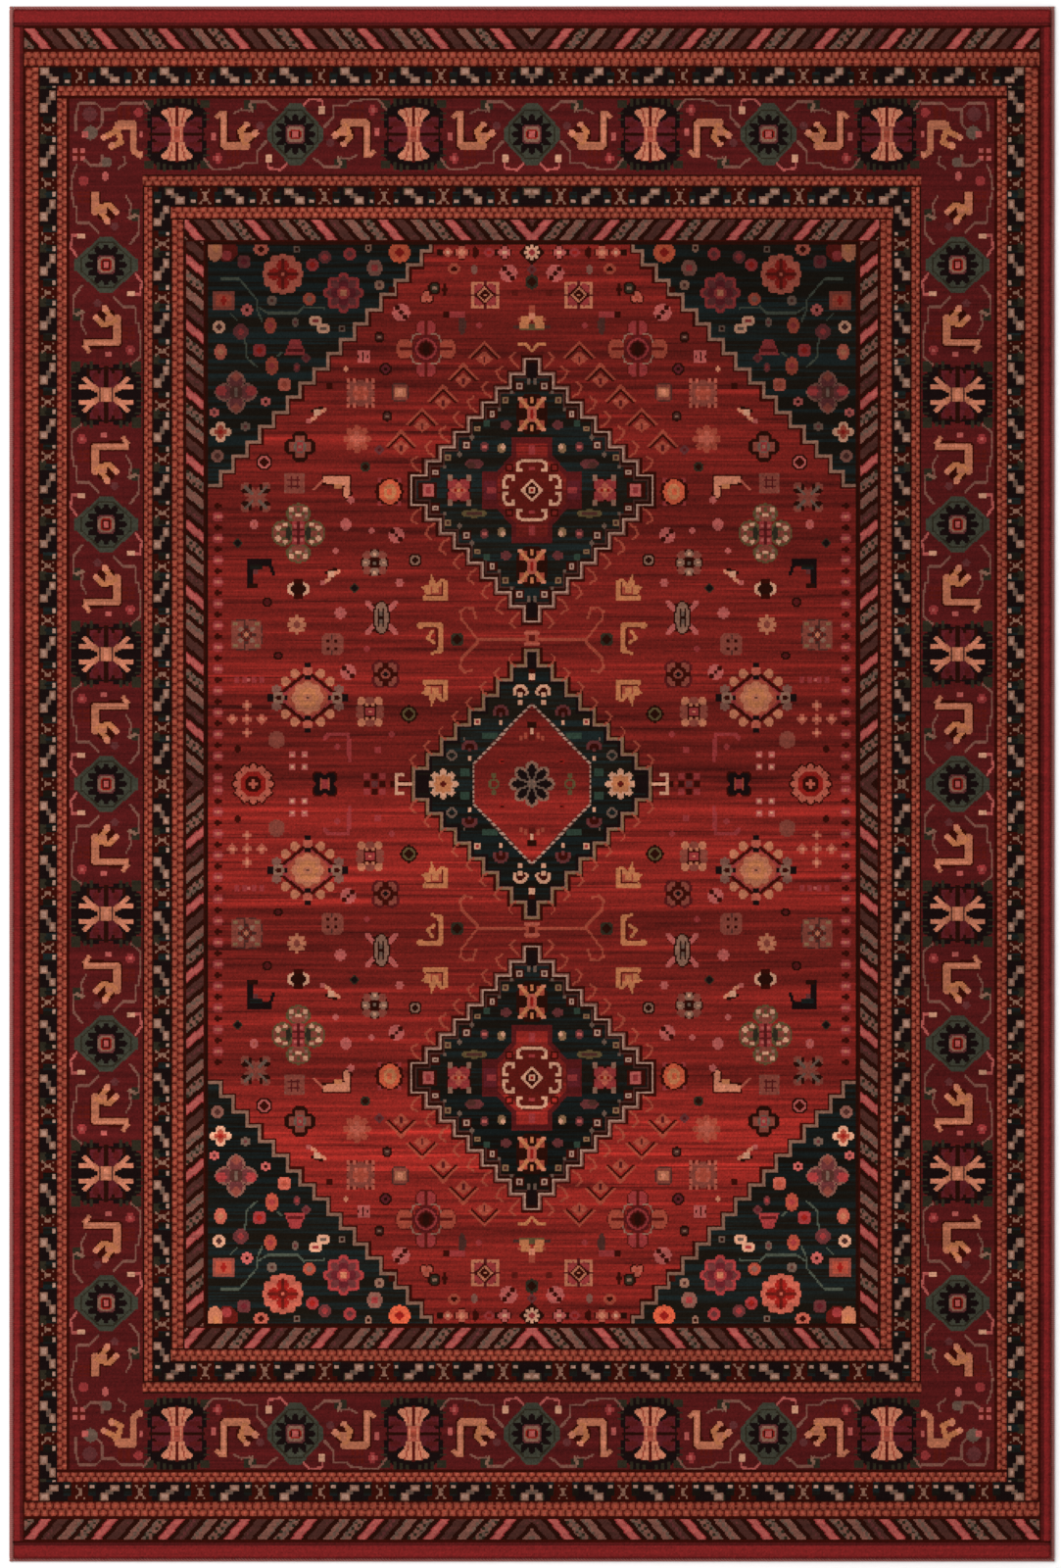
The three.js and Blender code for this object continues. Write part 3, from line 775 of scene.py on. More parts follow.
FOUR_LOBES = [
    ("olive", oval, 10, 0, 7.2, 8.2), ("olive", oval, 0, 12.6, 7.8, 6.6),
    ("fawn", oval, 10.4, 0, 5.8, 6.8), ("fawn", oval, 0, 12.8, 6.4, 5.2), ("olive", bar, 10, 3, 3, 2),
    ("olive", bar, 12.8, 0, 2, 2), ("olive", bar, 3, 13, 2, 2), ("olive", bar, 0, 15, 1, 3),
    ("cream", disc, 13, 3.4, 1.7), ("cream", disc, 8.4, 5.6, 1.4), ("cream", disc, 4.4, 15, 1.6),
    ("cream", bar, 0, 12, 3, 2), ("sand", bar, 5, 11, 2, 2), ("moss", oval, 6.4, 0, 2, 4.4),
    ("rose", bar, 0, 0, 7, 15), ("claret", bar, 0, 0, 1, 15), ("claret", bar, 0, 2.4, 7, 1),
    ("pink", bar, 2, 4.6, 2, 2),
]
ORANGE_BALL = [
    ("rose", bar, 6.4, 7.4, 3, 3), ("maroon", bloom, 0, 0, 12, 9.4, 0.85),
    ("orange", oval, 0, 0, 7, 7.8), ("gold", gem, 4, 4.6, 1.5), ("orange", bar, 0, 0, 3, 3),
]
BIG_DIAMOND = [
    ("tan", disc, 14.4, 10.6, 3), ("tan", disc, 8.4, 15.4, 3), ("blush", disc, 20, 5.4, 3),
    ("maroon", lozenge, 0, 0, 22.6, 17.8), ("rose", lozenge, 0, 0, 19.4, 15.2),
    ("link", gem, 12.6, 11.6, 1.3), ("tan", bloom, 0, 0, 8, 10.6, 0.8),
    ("gold", bloom, 0, 0, 8, 7, 0.66), ("tan", disc, 0, 0, 3), ("brown", bar, 0, 0, 1.6, 1.6),
    ("sand", disc, 18.8, 0, 3.8), ("maroon", disc, 18.8, 0, 1.8), ("black", bar, 24, 0, 3, 4),
    ("black", bar, 14.2, 0, 2.4, 3.4), ("salmon", disc, 0, 17.4, 3), ("black", bar, 0, 21, 3.4, 3),
    ("black", bar, 0, 12.8, 3, 3),
]
SHORE_FLOWER = [
    ("maroon", bar, 0, 0, 13, 15), ("tan", disc, 5.6, 6.8, 2.6), ("fawn", disc, 6.2, 2, 2.6),
    ("fawn", disc, 0, 7, 2.8), ("tan", bar, 2.4, 4.6, 2, 2), ("rose", bar, 0, 0, 5, 5),
    ("peach", bar, 0, 0, 1.6, 1.6),
]
DARK_ROSETTE = [
    ("claret", bloom, 0, 0, 4, 10.6, 0.6, 45), ("fawn", bloom, 0, 0, 4, 8.8, 0.55, 45),
    ("maroon", disc, 0, 0, 5.4), ("maroon", bar, 0, 5, 3, 5), ("maroon", bar, 5, 0, 5, 3),
    ("fawn", disc, 0, 0, 3), ("black", disc, 0, 0, 1.6),
]
LEAFY_ROSETTE = [
    ("brown", gem, 10, 10, 1.6), ("fawn", bar, 5.2, 5.2, 8, 8), ("khaki", bar, 7, 7, 2.4, 2.4),
    ("fawn", bar, 0, 8, 2, 4), ("fawn", bar, 8, 0, 4, 2), ("sand", disc, 3.6, 3.6, 1.6),
    ("brick", ring, 0, 0, 3.2, 1), ("tan", disc, 0, 0, 1.6),
]
PETALLED = [
    ("maroon", disc, 0, 0, 8.8), ("fawn", disc, 4.8, 4.8, 2.8), ("sand", disc, 0, 5.8, 2.7),
    ("sand", disc, 5.8, 0, 2.7), ("cream", bar, 0, 6, 1.6, 2), ("cream", bar, 6, 0, 2, 1.6),
    ("dark", disc, 0, 0, 2.6), ("grey", bar, 0, 0, 2, 2),
]
LARGE_FLOWER = [
    ("brick", oval, 13.4, 0, 6.4, 7.4), ("link", oval, 13.8, 0, 5.4, 6.4), ("brick", bar, 13, 0, 8, 1),
    ("brick", oval, 0, 13, 7.4, 6.4), ("rose", oval, 0, 13.4, 6.4, 5), ("brick", bar, 0, 13, 1, 9),
    ("sand", stroke, 1, (3.4, 10), (8, 8.6), (9.8, 4)), ("claret", bloom, 0, 0, 8, 9, 0.8),
    ("rose", ring, 0, 0, 6.2, 1), ("maroon", disc, 0, 0, 4.6), ("dark", oval, 0, 0, 2.4, 3.6),
]
OVAL_STAR = [
    ("maroon", bar, 6, 7.6, 7, 3), ("pink", stroke, 3.2, (4, 4), (9, 9.6)),
    ("dark", oval, 0, 0, 5.6, 11), ("sand", oval, 0, 0, 4.4, 10), ("dark", bar, 1.6, 0, 1, 11),
    ("grey", bar, 0, 0, 1.6, 8), ("dark", bar, 0, 0, 4, 1),
]
FOUR_SQUARES = [("pink", bar, 3.8, 3.8, 4, 4), ("cream", bar, 3.8, 3.8, 1.6, 1.6)]
print("motifs known by heart")

# %% Birds, crowns and hooks
HOOK_BIRD = [
    ("maroon", patch, (10, 3.6), (-9, 3.6), (-10, -9), (-7, -14), (-3, -10), (-4, -5), (3, -4),
     (10, -3)),
    ("peach", patch, (9, 2.6), (-8, 2.6), (-8.8, -8), (-6.4, -12.6), (-4, -9), (-5, -4), (2, -2.6),
     (9, -1.8)),
    ("salmon", stroke, 1.5, (9, -0.6), (14.6, -6)), ("gold", bar, -1, -3.6, 5, 3),
    ("pink", disc, -9, -13, 2.2),
]
SMALL_BIRD = [
    ("dark", stroke, 2.4, (-3, 5), (3, 3)), ("peach", stroke, 2.2, (6, -3.4), (2, -2), (0, 1), (-5, 4)),
    ("cream", bar, 0, 2, 3, 3), ("pink", disc, 5.6, -3.6, 1.8),
]
BLACK_BIRD = [
    ("black", bar, 8, 1, 4.4, 18), ("black", bar, 2, 8, 15, 5),
    ("black", stroke, 2.2, (-5, 6), (-7, 1)), ("night", bar, 4, 5, 8, 3), ("dark", bar, 6, -7, 6, 3),
    ("mauve", disc, 4.4, 2, 1.6),
]
CROWN_BIRD = [
    ("gold", patch, (-8, -8), (8, -8), (8, -5), (5, -4), (9, 1), (4, 2), (2, 9), (-1, 3), (-4, 6),
     (-8, 5)),
    ("link", patch, (-4, -4), (3, -4), (3, 1), (-4, 1)), ("gold", bar, 0, -1, 4, 3),
    ("brick", bar, 0, -4.4, 11, 1), ("brick", bar, -5, 0, 1, 8),
]
SEVEN_BIRD = [
    ("gold", stroke, 3.2, (7, 8), (-6, 8), (-6, -8)),
    ("brick", stroke, 1.0, (5, 6.4), (-4, 6.4), (-4, -6)),
    ("gold", stroke, 1.8, (-1, 4), (2, 0), (-2, -3)), ("gold", stroke, 2, (-6, -8), (-1, -10)),
]
FAINT_SEVEN = [("rose", stroke, 2.6, (9, 6), (7, 9), (-6, 9), (-7, -8)), ("rose", disc, 1, 1, 2)]
TOP_BIRD = [
    ("brown", bar, 0, -4, 24, 2), ("olive", bar, 0, -4, 16, 3), ("link", bar, 0, 5, 4, 10),
    ("gold", bar, 5, -3, 5, 4), ("gold", bar, 4, 1, 6, 3), ("peach", bar, 0, 3, 3, 3),
    ("link", bar, 8, 1, 2, 2),
]
print("creatures of the field")

# %% Where the small motifs go
PLACED = [  # motif, fold, then the knots at its middle
    ([("dark", lozenge, 0, 0, 9, 8), *flower("cream", "rose", 8, 5)[1:]], "ou", (0, 342)),
    (dot("dark", 2.4), "", (22, 342), (59, 342)), (flower("pink", "cream", 4, 4), "ou", (17.6, 342)),
    (dot("rose", 3.2, "scarlet", 1.4), "", (27.5, 342)),
    ([("maroon", oval, 0, 0, 2, 3.6)], "", (36.3, 342)),
    (flower("salmon", "peach", 4, 4.4), "ou", (45, 342)),
    (dot("salmon", 2.6, "cream", 1), "", (54, 342)),
    (pinwheel("pink", 5.6), "", (15, 328.6), (84, 303.4)),
    (pinwheel("pink", 5), "", (87, 160), (118, 72)), ([("blush", oval, 0, 0, 2, 2.8)], "", (37, 331)),
    (dot("link", 3.8, "maroon", 1.8), "", (50, 331.4)),
    (dot("mauve", 2.6, "claret", 1.2), "", (0, 331), (98, 215)),
    ([("moss", oval, 0, 0, 4.4, 4.6), ("dark", oval, 0, 0, 2.6, 3)], "", (0, 323)),
    (SQUARE_FLOWER, "ou", (30.2, 314.6)), (eyelet("moss", 4.2, "sand"), "", (62.7, 319)),
    (flower("salmon", "link", 3, 4, 0.5, 90), "", (67.6, 313)),
    ([("maroon", oval, 0, 0, 1.6, 4)], "", (56, 318)), (TOP_BIRD, "o", (0, 298)),
    (dot("brick", 2.4), "", (11, 316)), (LARGE_FLOWER, "ou", (68, 280)),
    ([("brown", oval, 0, 0, 2.4, 6.8)], "", (44.7, 295.5)),
    ([("rose", bar, 0, 0, 9, 3)], "", (48, 302)),
    (dot("maroon", 2.2), "", (55, 302), (90, 318), (130, 256), (189, 22.5)),
    (dot("moss", 2.8, "black", 1.6), "", (114, 126), (189, 155)),
    (dot("moss", 4.4, "dark", 2.6), "", (48, 93)), (dot("rose", 2), "", (34, 295), (106, 87), (90, 32)),
    (eyelet("claret", 3, "peach"), "", (170, 117), (163, 82.5)),
    ([("pink", bar, 0, 0, 8, 7.4), ("maroon", bar, 0, 0, 1.6, 5.4), ("maroon", bar, 3, 0, 1.2, 1.6)],
     "ou", (108.4, 275)),
    (dot("peach", 1.8), "", (119.5, 267)), (COMB, "ou", (110, 251.5)),
    (eyelet("brown", 3.4, "sand"), "", (98, 287.5), (93, 236.6)),
    (eyelet("plum", 4, "dark"), "", (94, 267)), (eyelet("sand", 4.4, "dark"), "", (75, 144)),
    (eyelet("olive", 5.6, "dark"), "", (79, 45)),
    ([("brown", gem, 5.6, 5.6, 1.7), ("fawn", bar, 0, 0, 9, 9), ("tan", bar, 0, 0, 6.6, 6.6),
     ("peach", bar, 0, 0, 3, 3)], "ou", (84.6, 252)),
    (SMALL_BIRD, "", (138, 237), (129, 133)),
    ([("link", bloom, 0, 0, 8, 9, 0.66), ("salmon", bar, 0, 0, 3, 10), ("salmon", bar, 0, 0, 10, 3)],
     "ou", (112.4, 222)),
    (CROSS_FLOWER, "ou", (149, 217)), (dot("moss", 3.4, "dark", 1.6), "", (107, 204)),
    (eyelet("pink", 5.4, "maroon"), "", (172, 207)), (GRID, "ou", (152.6, 193.6)),
    (PINWHEEL, "ou", (177.4, 184.4)), (HOOK_BIRD, "", (125.4, 195.6)), (ORANGE_BALL, "ou", (91.4, 188)),
    (FOUR_LOBES, "ou", (150, 161.4)), (dot("pink", 2.8, "link", 1), "", (178.4, 167)),
    (dot("pink", 3.8), "", (119.6, 167), (123, 110)), (dot("pink", 2), "", (103, 163), (126, 150)),
    (PETALLED, "ou", (101, 142.4)), (BLACK_BIRD, "", (173, 134.4)),
    ([("cream", oval, 0, 0, 7.4, 4.8), ("maroon", bar, 0, 5, 5, 3), ("dark", oval, 0, 0, 4.8, 3.8)],
     "ou", (150, 125.6)),
    (dot("pink", 2.6), "", (85, 129.5)), (OVAL_STAR, "ou", (96.7, 107)),
    (flower("tan", "fawn", 8, 6.4, 0.6)[1:], "", (151, 102.4)), (CROWN_BIRD, "", (62.4, 126)),
    (SEVEN_BIRD, "", (65, 94)), (LEAFY_ROSETTE, "ou", (183.4, 96)),
    ([("fawn", gem, 7, 7, 1.7), ("maroon", bar, 2.4, 2.4, 2.6, 2.6), ("brown", bar, 0, 5, 1.2, 3)],
     "ou", (128.4, 89.6)),
    (DARK_ROSETTE, "ou", (94, 70.6)),
    ([("rose", bar, 8, 0, 3, 4), ("rose", bar, 3, 0, 2.4, 4), ("pink", bar, 0, 0, 2, 2)], "ou",
     (181.7, 67)),
    (BIG_DIAMOND, "ou", (144, 55.5)), (SHORE_FLOWER, "ou", (104, 46.4)),
    (dot("fawn", 5.4), "", (164, 28.4)),
    (flower("salmon", "peach", 4, 3.4, 0.5)[1:], "ou", (183, 50.6), (183, 33), (192.4, 41.8),
     (173.6, 41.8), (183, 41.8)),
    (FOUR_SQUARES, "ou", (150, 14.8)), (FAINT_SEVEN, "", (124, 23)), (dot("rose", 2.4), "", (99, 22)),
    ([("rose", bar, 5, 5, 3, 3), ("maroon", bar, 5, 0, 4, 3), ("maroon", bar, 0, 5, 3, 4),
     ("mauve", bar, 0, 0, 3, 3)], "ou", (101, 0)),
    (flower("black", "rose", 4, 9, 0.5, 45), "ou", (133, 0)),
    ([("link", bar, 2.6, 0, 1.4, 7)], "ou", (133, 0)),
    ([("maroon", bloom, 0, 0, 12, 14.4, 0.8), ("salmon", bloom, 0, 0, 12, 13.2, 0.74),
     ("scarlet", disc, 0, 0, 8.4), ("maroon", disc, 0, 0, 5.2), ("salmon", bar, 0, 0, 2, 6),
     ("salmon", bar, 0, 0, 6, 2)], "ou", (179, 0)),
]
for layers, fold, *places in PLACED:
    for place in places:
        weave(layers, at=place, fold=fold)
weave(CROWN_BIRD, at=(62.4, 59), flip=True)
FLORETS = range(4, 180, 14)
for along in FLORETS:
    weave([
        ("rose", disc, 0, 0, 3.4), ("pink", bar, 0, 0, 4.4, 2.8), ("tan", bar, 0, 0, 1.6, 2),
    ], at=(201.6, along))
    weave([("maroon", bar, 0, 0, 5, 1.6), ("maroon", bar, 0, 0, 2, 3)], at=(201.6, along + 7))
print(len(PLACED), "kinds of motif and", len(FLORETS), "florets along the edge")

# %% [markdown]
# The loom mirrors the quarter across the rug and along it. Row 0 is then the foot end and column 0
# the left side.

# %% Mirror the quarter
half_rug = np.concatenate([quarter[:, ::-1], quarter], axis=1)
rug = np.concatenate([half_rug[::-1], half_rug], axis=0)
print("the rug has", rug.size, "knots")

# %% [markdown]
# Abrash. Wool takes the dye unevenly, so a hand-made rug changes its red from one batch of yarn to
# the next, in bands and in fine streaks along the weft. A good machine-made one copies that.
# It is strong in the red of the field and in the dark ground, which goes from black to blue-green,
# and slight in the other yarns. The bands below are set in round numbers, from the head end to the foot.

# %% Bands of shade along the rug
SHADE_BANDS = [  # knots above the middle where the band starts, and its shade of the plain red
    (500, 0.9), (310, 0.75), (255, 0.9), (205, 0.8), (145, 0.9), (75, 1.0), (60, 0.8), (-5, 1.05),
    (-80, 0.85), (-130, 1.0), (-170, 0.9), (-195, 1.1), (-215, 1.2), (-255, 1.1), (-275, 1.0),
]
band_tops = np.array([top for top, shade in SHADE_BANDS])
band_shades = np.array([shade for top, shade in SHADE_BANDS])
row_place = np.arange(2 * KNOTS_ALONG) + 0.5 - KNOTS_ALONG
row_band = np.searchsorted(-band_tops, -row_place, side="right") - 1
row_shade = np.convolve(band_shades[row_band], np.ones(7) / 7, mode="same")
row_shade[:3] = row_shade[3]
row_shade[-3:] = row_shade[-4]
print("shades from", row_shade.min().round(2), "to", row_shade.max().round(2))

# %% Streaks along the weft
dice = np.random.default_rng(1207)


def streaks(length, rows):
    """Noise drawn out along the weft: random values `length` knots apart, joined by smooth curves,
    and each row averaged with its neighbours `rows` times."""
    shape = rug.shape
    coarse = dice.standard_normal((shape[0], shape[1] // length + 3))
    for _ in range(rows):
        coarse = (coarse + np.roll(coarse, 1, axis=0)) / math.sqrt(2)
    at = np.arange(shape[1]) / length + dice.random((shape[0], 1))
    low = at.astype(int)
    share = at - low
    share = share * share * (3 - 2 * share)
    return np.take_along_axis(coarse, low, 1) * (1 - share) + np.take_along_axis(coarse, low + 1, 1) * share


long_streak = 0.6 * streaks(150, 3) + 0.8 * streaks(48, 1)
short_streak = 0.6 * streaks(20, 0) + 0.4 * streaks(70, 0)
speck = dice.standard_normal(rug.shape)
print("streaks", long_streak.std().round(2), short_streak.std().round(2))

# %% Dye every knot
OTHER_STREAK, OTHER_BAND = 0.035, 0.15
SPECK_SHARE = 0.05
CORNER_RAMP = 0.2
DARKEST, LIGHTEST = 4, 250
BLUE_GREEN = np.array([20, 27, 27])
STREAK_SHARE = {"red": 0.1, "claret": 0.05, "plain": 0.03, "night": 0.0}
BAND_SHARE = {
    "red": 1.0, "night": -0.9, "maroon": 0.5, "wine": 0.5, "rose": 0.3, "link": 0.3, "claret": 0.12,
}
streak_share = np.array([STREAK_SHARE.get(name, OTHER_STREAK) for name in YARNS])[rug]
band_share = np.array([BAND_SHARE.get(name, OTHER_BAND) for name in YARNS])[rug]
shade = 1 + band_share * (row_shade[:, None] - 1)
half_corner = np.concatenate([dark_corner[:, ::-1], dark_corner], axis=1)
in_corner = np.concatenate([half_corner[::-1], half_corner], axis=0)
# In the spandrels every yarn goes darker towards the head end and lighter towards the foot, in a straight
# ramp.
shade *= 1 - CORNER_RAMP * in_corner * (row_place / inner_end[-1])[:, None]
shade *= 1 + streak_share * (long_streak + 0.7 * short_streak) + SPECK_SHARE * speck
dyed = np.array([DYED[name] for name in YARNS], float)[rug]
is_night = (rug == YARN["night"])[..., None]
bluer = np.clip(0.55 * long_streak + 0.25 * short_streak + 0.3, 0, 1)[..., None]
dyed = np.where(is_night, dyed + (BLUE_GREEN - dyed) * bluer, dyed)
knot_colour = linear(np.clip(dyed * shade[..., None], DARKEST, LIGHTEST))
print("mean colour", knot_colour.mean(axis=(0, 1)).round(3))

# %% [markdown]
# The pile. Each knot leaves two cut ends of yarn that open into a soft tip, 7.5 mm high.
# So many tips can't each be a tuft with its own sides, so the pile is one surface with a
# square for every knot, and every corner of a square stands a little higher or lower than the next.
# The outermost knots lean over and the surface goes down to the ground weave at the edge.
# The surface is cut into lengthwise strips, as a wide loom makes it, because one mesh would be too
# heavy. Each strip is closed underneath.

# %% The pile's surface as a grid
STRIPS = 8
EDGE_STEP = 0.3 * MM
SETTLE = 0.25 * MM
EDGE_STANDS = (0.06, 0.74, 0.965)
TIP_JITTER, TIP_SHIFT = 0.2 * MM, 0.13 * MM
WAVE_HEIGHT = 0.12 * MM


def edge_profile(knots, size, low):
    """Places across the pile and how high it stands there: knot boundaries in the middle, and two
    more places at each edge where the surface drops to the ground."""
    inside = np.linspace(low, low + size, knots + 1)
    place = np.concatenate([[inside[0]], inside, [inside[-1]]])
    place[1] += EDGE_STEP
    place[-2] -= EDGE_STEP
    stand = np.ones(knots + 3)
    for step, share in enumerate(EDGE_STANDS):
        stand[[step, -1 - step]] = share
    return place, stand


pile_size = PILE_HIGH - PILE_LOW
across, stand_across = edge_profile(2 * KNOTS_ACROSS, pile_size[0], PILE_LOW[0])
along, stand_along = edge_profile(2 * KNOTS_ALONG, pile_size[1], PILE_LOW[1])
pile_x, pile_y = np.meshgrid(across, along)
stand = np.outer(stand_along, stand_across)
jitter = TIP_JITTER * dice.standard_normal(stand.shape)
wave = WAVE_HEIGHT * np.sin(pile_x / 0.083 + 2 * np.sin(pile_y / 0.19)) * np.sin(pile_y / 0.11)
pile_z = PILE_LOW[2] + (pile_size[2] - SETTLE) * stand + (jitter + wave) * (stand > 0.5)
pile_x = pile_x + TIP_SHIFT * dice.standard_normal(stand.shape) * (stand > 0.97)
pile_y = pile_y + TIP_SHIFT * dice.standard_normal(stand.shape) * (stand > 0.97)
edged = np.pad(knot_colour, ((1, 1), (1, 1), (0, 0)), mode="edge")
print("pile grid", pile_z.shape, "from", pile_z.min().round(5), "to", pile_z.max().round(5))

# %% Meshes from grids


def new_piece(name, vertices, faces, smooth=True):
    """A mesh object at the origin, in the scene, from arrays of vertices and of faces."""
    mesh = bpy.data.meshes.new(name)
    mesh.from_pydata(vertices, [], faces)
    mesh.polygons.foreach_set("use_smooth", np.full(len(mesh.polygons), smooth))
    mesh.update()
    piece = bpy.data.objects.new(name, mesh)
    bpy.context.scene.collection.objects.link(piece)
    return piece


def grid_faces(rows, columns):
    """Squares between neighbouring points of a grid, whose points are numbered row by row."""
    corner = np.arange(rows - 1)[:, None] * columns + np.arange(columns - 1)
    return np.stack([corner, corner + 1, corner + columns + 1, corner + columns], -1).reshape(-1, 4)


def tube_faces(tubes, rings, sides):
    """Squares round tubes whose points are numbered tube by tube and ring by ring, facing out."""
    first = np.arange(tubes)[:, None, None] * rings * sides
    near = first + np.arange(rings - 1)[None, :, None] * sides
    around = np.arange(sides)[None, None, :]
    after = (around + 1) % sides
    far = near + sides
    return np.stack([near + around, near + after, far + after, far + around], -1).reshape(-1, 4)


def outline(rows, columns):
    """The numbers of a grid's outer points in order, against the clock as seen from above."""
    number = np.arange(rows * columns).reshape(rows, columns)
    return np.concatenate([number[0, :-1], number[:-1, -1], number[-1, :0:-1], number[:0:-1, 0]])


def closed_slab(name, x, y, z, base, smooth=True):
    """A grid that looks up, closed by a wall down to the height `base` and one flat face there."""
    rows, columns = z.shape
    rim = outline(rows, columns)
    top = np.stack([x, y, z], -1).reshape(-1, 3)
    foot = top[rim].copy()
    foot[:, 2] = base
    lower = len(top) + np.arange(len(rim))
    wall = np.stack([rim, lower, np.roll(lower, -1), np.roll(rim, -1)], -1)
    faces = np.concatenate([grid_faces(rows, columns), wall]).tolist()
    faces.append(lower[::-1].tolist())
    return new_piece(name, np.concatenate([top, foot]), faces, smooth)


def add_colour(piece, colours):
    """Store one colour for each face, as the attribute that the wool's material reads."""
    mesh = piece.data
    sizes = np.array([len(face.vertices) for face in mesh.polygons])
    spread = np.repeat(np.concatenate([colours, np.ones((len(colours), 1))], 1), sizes, axis=0)
    layer = mesh.color_attributes.new("dye", "FLOAT_COLOR", "CORNER")
    layer.data.foreach_set("color", spread.astype(np.float32).ravel())


# %% A flat map for each strip


def unroll(piece, rows, columns):
    """Lay a strip's squares out flat as three lengths side by side, so that they fill a square map.

    A corner's place is its place in the grid, shifted by the length that its square is in. The walls
    and the underside go in a corner that is left over.
    """
    third = -(-(rows - 1) // 3)
    scale = 1.0 / (third + 8)
    row, column = np.divmod(np.arange((rows - 1) * (columns - 1)), columns - 1)
    length = row // third
    u = (column + length * (columns + 5) + 2)[:, None] + np.array([0, 1, 1, 0])
    v = (row - length * third + 2)[:, None] + np.array([0, 0, 1, 1])
    mesh = piece.data
    flat = np.full((len(mesh.loops), 2), (3 * (columns + 5) + 4) * scale)
    flat[: 4 * len(row)] = np.stack([u, v], -1).reshape(-1, 2) * scale
    rest = len(mesh.loops) - 4 * len(row)
    turn = np.linspace(0, 2 * math.pi, rest, endpoint=False)
    middle = (3 * (columns + 5) + third) / 2 * scale
    spare = (third + 4 - 3 * (columns + 5)) / 2 * scale
    flat[4 * len(row):, 0] = middle + spare * np.cos(turn)
    flat[4 * len(row):, 1] = 0.5 + spare * np.sin(turn)
    mesh.uv_layers.new(name="OFBake").data.foreach_set("uv", flat.astype(np.float32).ravel())


cuts = np.linspace(0, len(across) - 1, STRIPS + 1).round().astype(int)
pile_strips = []
for number, (first, last) in enumerate(zip(cuts, cuts[1:])):
    columns = slice(first, last + 1)
    strip = closed_slab(
        f"pile_strip_{number + 1}", pile_x[:, columns], pile_y[:, columns], pile_z[:, columns],
        PILE_LOW[2], smooth=False,
    )
    tops = edged[:, first:last].reshape(-1, 3)
    walls = np.tile(linear(DYED["plain"]), (len(strip.data.polygons) - len(tops), 1))
    add_colour(strip, np.concatenate([tops, walls]))
    unroll(strip, len(along), last - first + 1)
    pile_strips.append(strip)
print(STRIPS, "strips,", len(pile_strips[0].data.polygons), "faces in the first")

# %% [markdown]
# The cut edge of the pile. Seen from the side a rug shows its outermost yarns from the ground to the
# tip, side by side like a brush. Each is a short five-sided stem that swells a little, leans
# outwards and ends in a rounded tip.

# %% Yarns standing along the edge
STEM_SIDES = 5
STEM_HEIGHTS = np.array([0.0, 0.35, 0.75, 0.97])
STEM_WIDTHS = np.array([0.75, 1.0, 1.08, 0.55])
STEM_RADIUS = 0.92 * MM
STEM_LEAN, STEM_SWAY = 1.0 * MM, 0.3 * MM
STEM_INSET, STEM_FOOT = 0.75 * MM, 0.1 * MM


def stem_places():
    """Where stems stand around the pile, which way is out, and the colour of the nearest knot."""
    x = (across[2:-1] + across[1:-2]) / 2
    y = (along[2:-1] + along[1:-2]) / 2
    sides = [
        (x, np.full(x.shape, along[0]), 0, -1, knot_colour[0, : len(x)]),
        (x, np.full(x.shape, along[-1]), 0, 1, knot_colour[-1, : len(x)]),
        (np.full(y.shape, across[0]), y, -1, 0, knot_colour[: len(y), 0]),
        (np.full(y.shape, across[-1]), y, 1, 0, knot_colour[: len(y), -1]),
    ]
    place = np.concatenate([np.stack([a, b], -1) for a, b, ox, oy, c in sides])
    out = np.concatenate([np.tile([ox, oy], (len(a), 1)) for a, b, ox, oy, c in sides]).astype(float)
    return place, out, np.concatenate([c for a, b, ox, oy, c in sides])


def stems(name, radius, lean):
    """Tapered stems: at each height a ring of points around a middle that moves outwards with the
    square of the height, so that the stem leans more and more."""
    place, out, colour = stem_places()
    count = len(place)
    tall = (pile_size[2] + STEM_FOOT) * (1 + 0.05 * dice.standard_normal(count)).clip(0.85, 1.06)
    lean = lean * (1 + 0.45 * dice.standard_normal(count)).clip(0.1, 2.2)
    sway = STEM_SWAY * dice.standard_normal(count)
    angle = np.arange(STEM_SIDES) * 2 * math.pi / STEM_SIDES
    rise = STEM_HEIGHTS[None, :, None]
    turn = angle[None, None, :] + dice.random((count, 1, 1)) * 2 * math.pi
    size = radius * STEM_WIDTHS[None, :, None]
    move = (lean[:, None, None] * rise**2) - STEM_INSET
    side = np.stack([-out[:, 1], out[:, 0]], -1)
    middle = place[:, None, None, :] + move[..., None] * out[:, None, None, :]
    middle = middle + (sway[:, None, None] * rise**2)[..., None] * side[:, None, None, :]
    x = middle[..., 0] + size * np.cos(turn)
    y = middle[..., 1] + size * np.sin(turn)
    z = PILE_LOW[2] + STEM_FOOT + rise * tall[:, None, None] + 0 * turn
    vertices = np.stack([x, y, z], -1).reshape(-1, 3)
    levels = len(STEM_HEIGHTS)
    quads = tube_faces(count, levels, STEM_SIDES)
    stem_start = np.arange(count)[:, None] * levels * STEM_SIDES
    tip = stem_start + (levels - 1) * STEM_SIDES + np.arange(STEM_SIDES)
    root = (stem_start + np.arange(STEM_SIDES))[:, ::-1]
    faces = quads.tolist() + tip.tolist() + root.tolist()
    piece = new_piece(name, vertices, faces)
    tint = (1 + 0.08 * dice.standard_normal((count, 1))).clip(0.7, 1.3)
    per_quad = np.repeat(colour * tint, len(quads) // count, axis=0)
    add_colour(piece, np.concatenate([per_quad, colour, colour]))
    return piece


pile_edge = stems("pile_edge", STEM_RADIUS, STEM_LEAN)
print("edge yarns", len(pile_edge.data.polygons), "faces")

# %% [markdown]
# The ground weave is what a hand feels under the rug: cotton and jute, with a rib for each weft.
# It is a thin sheet, so it is one ribbed slab, pressed thin where the overcasting and the end tapes
# go round it.

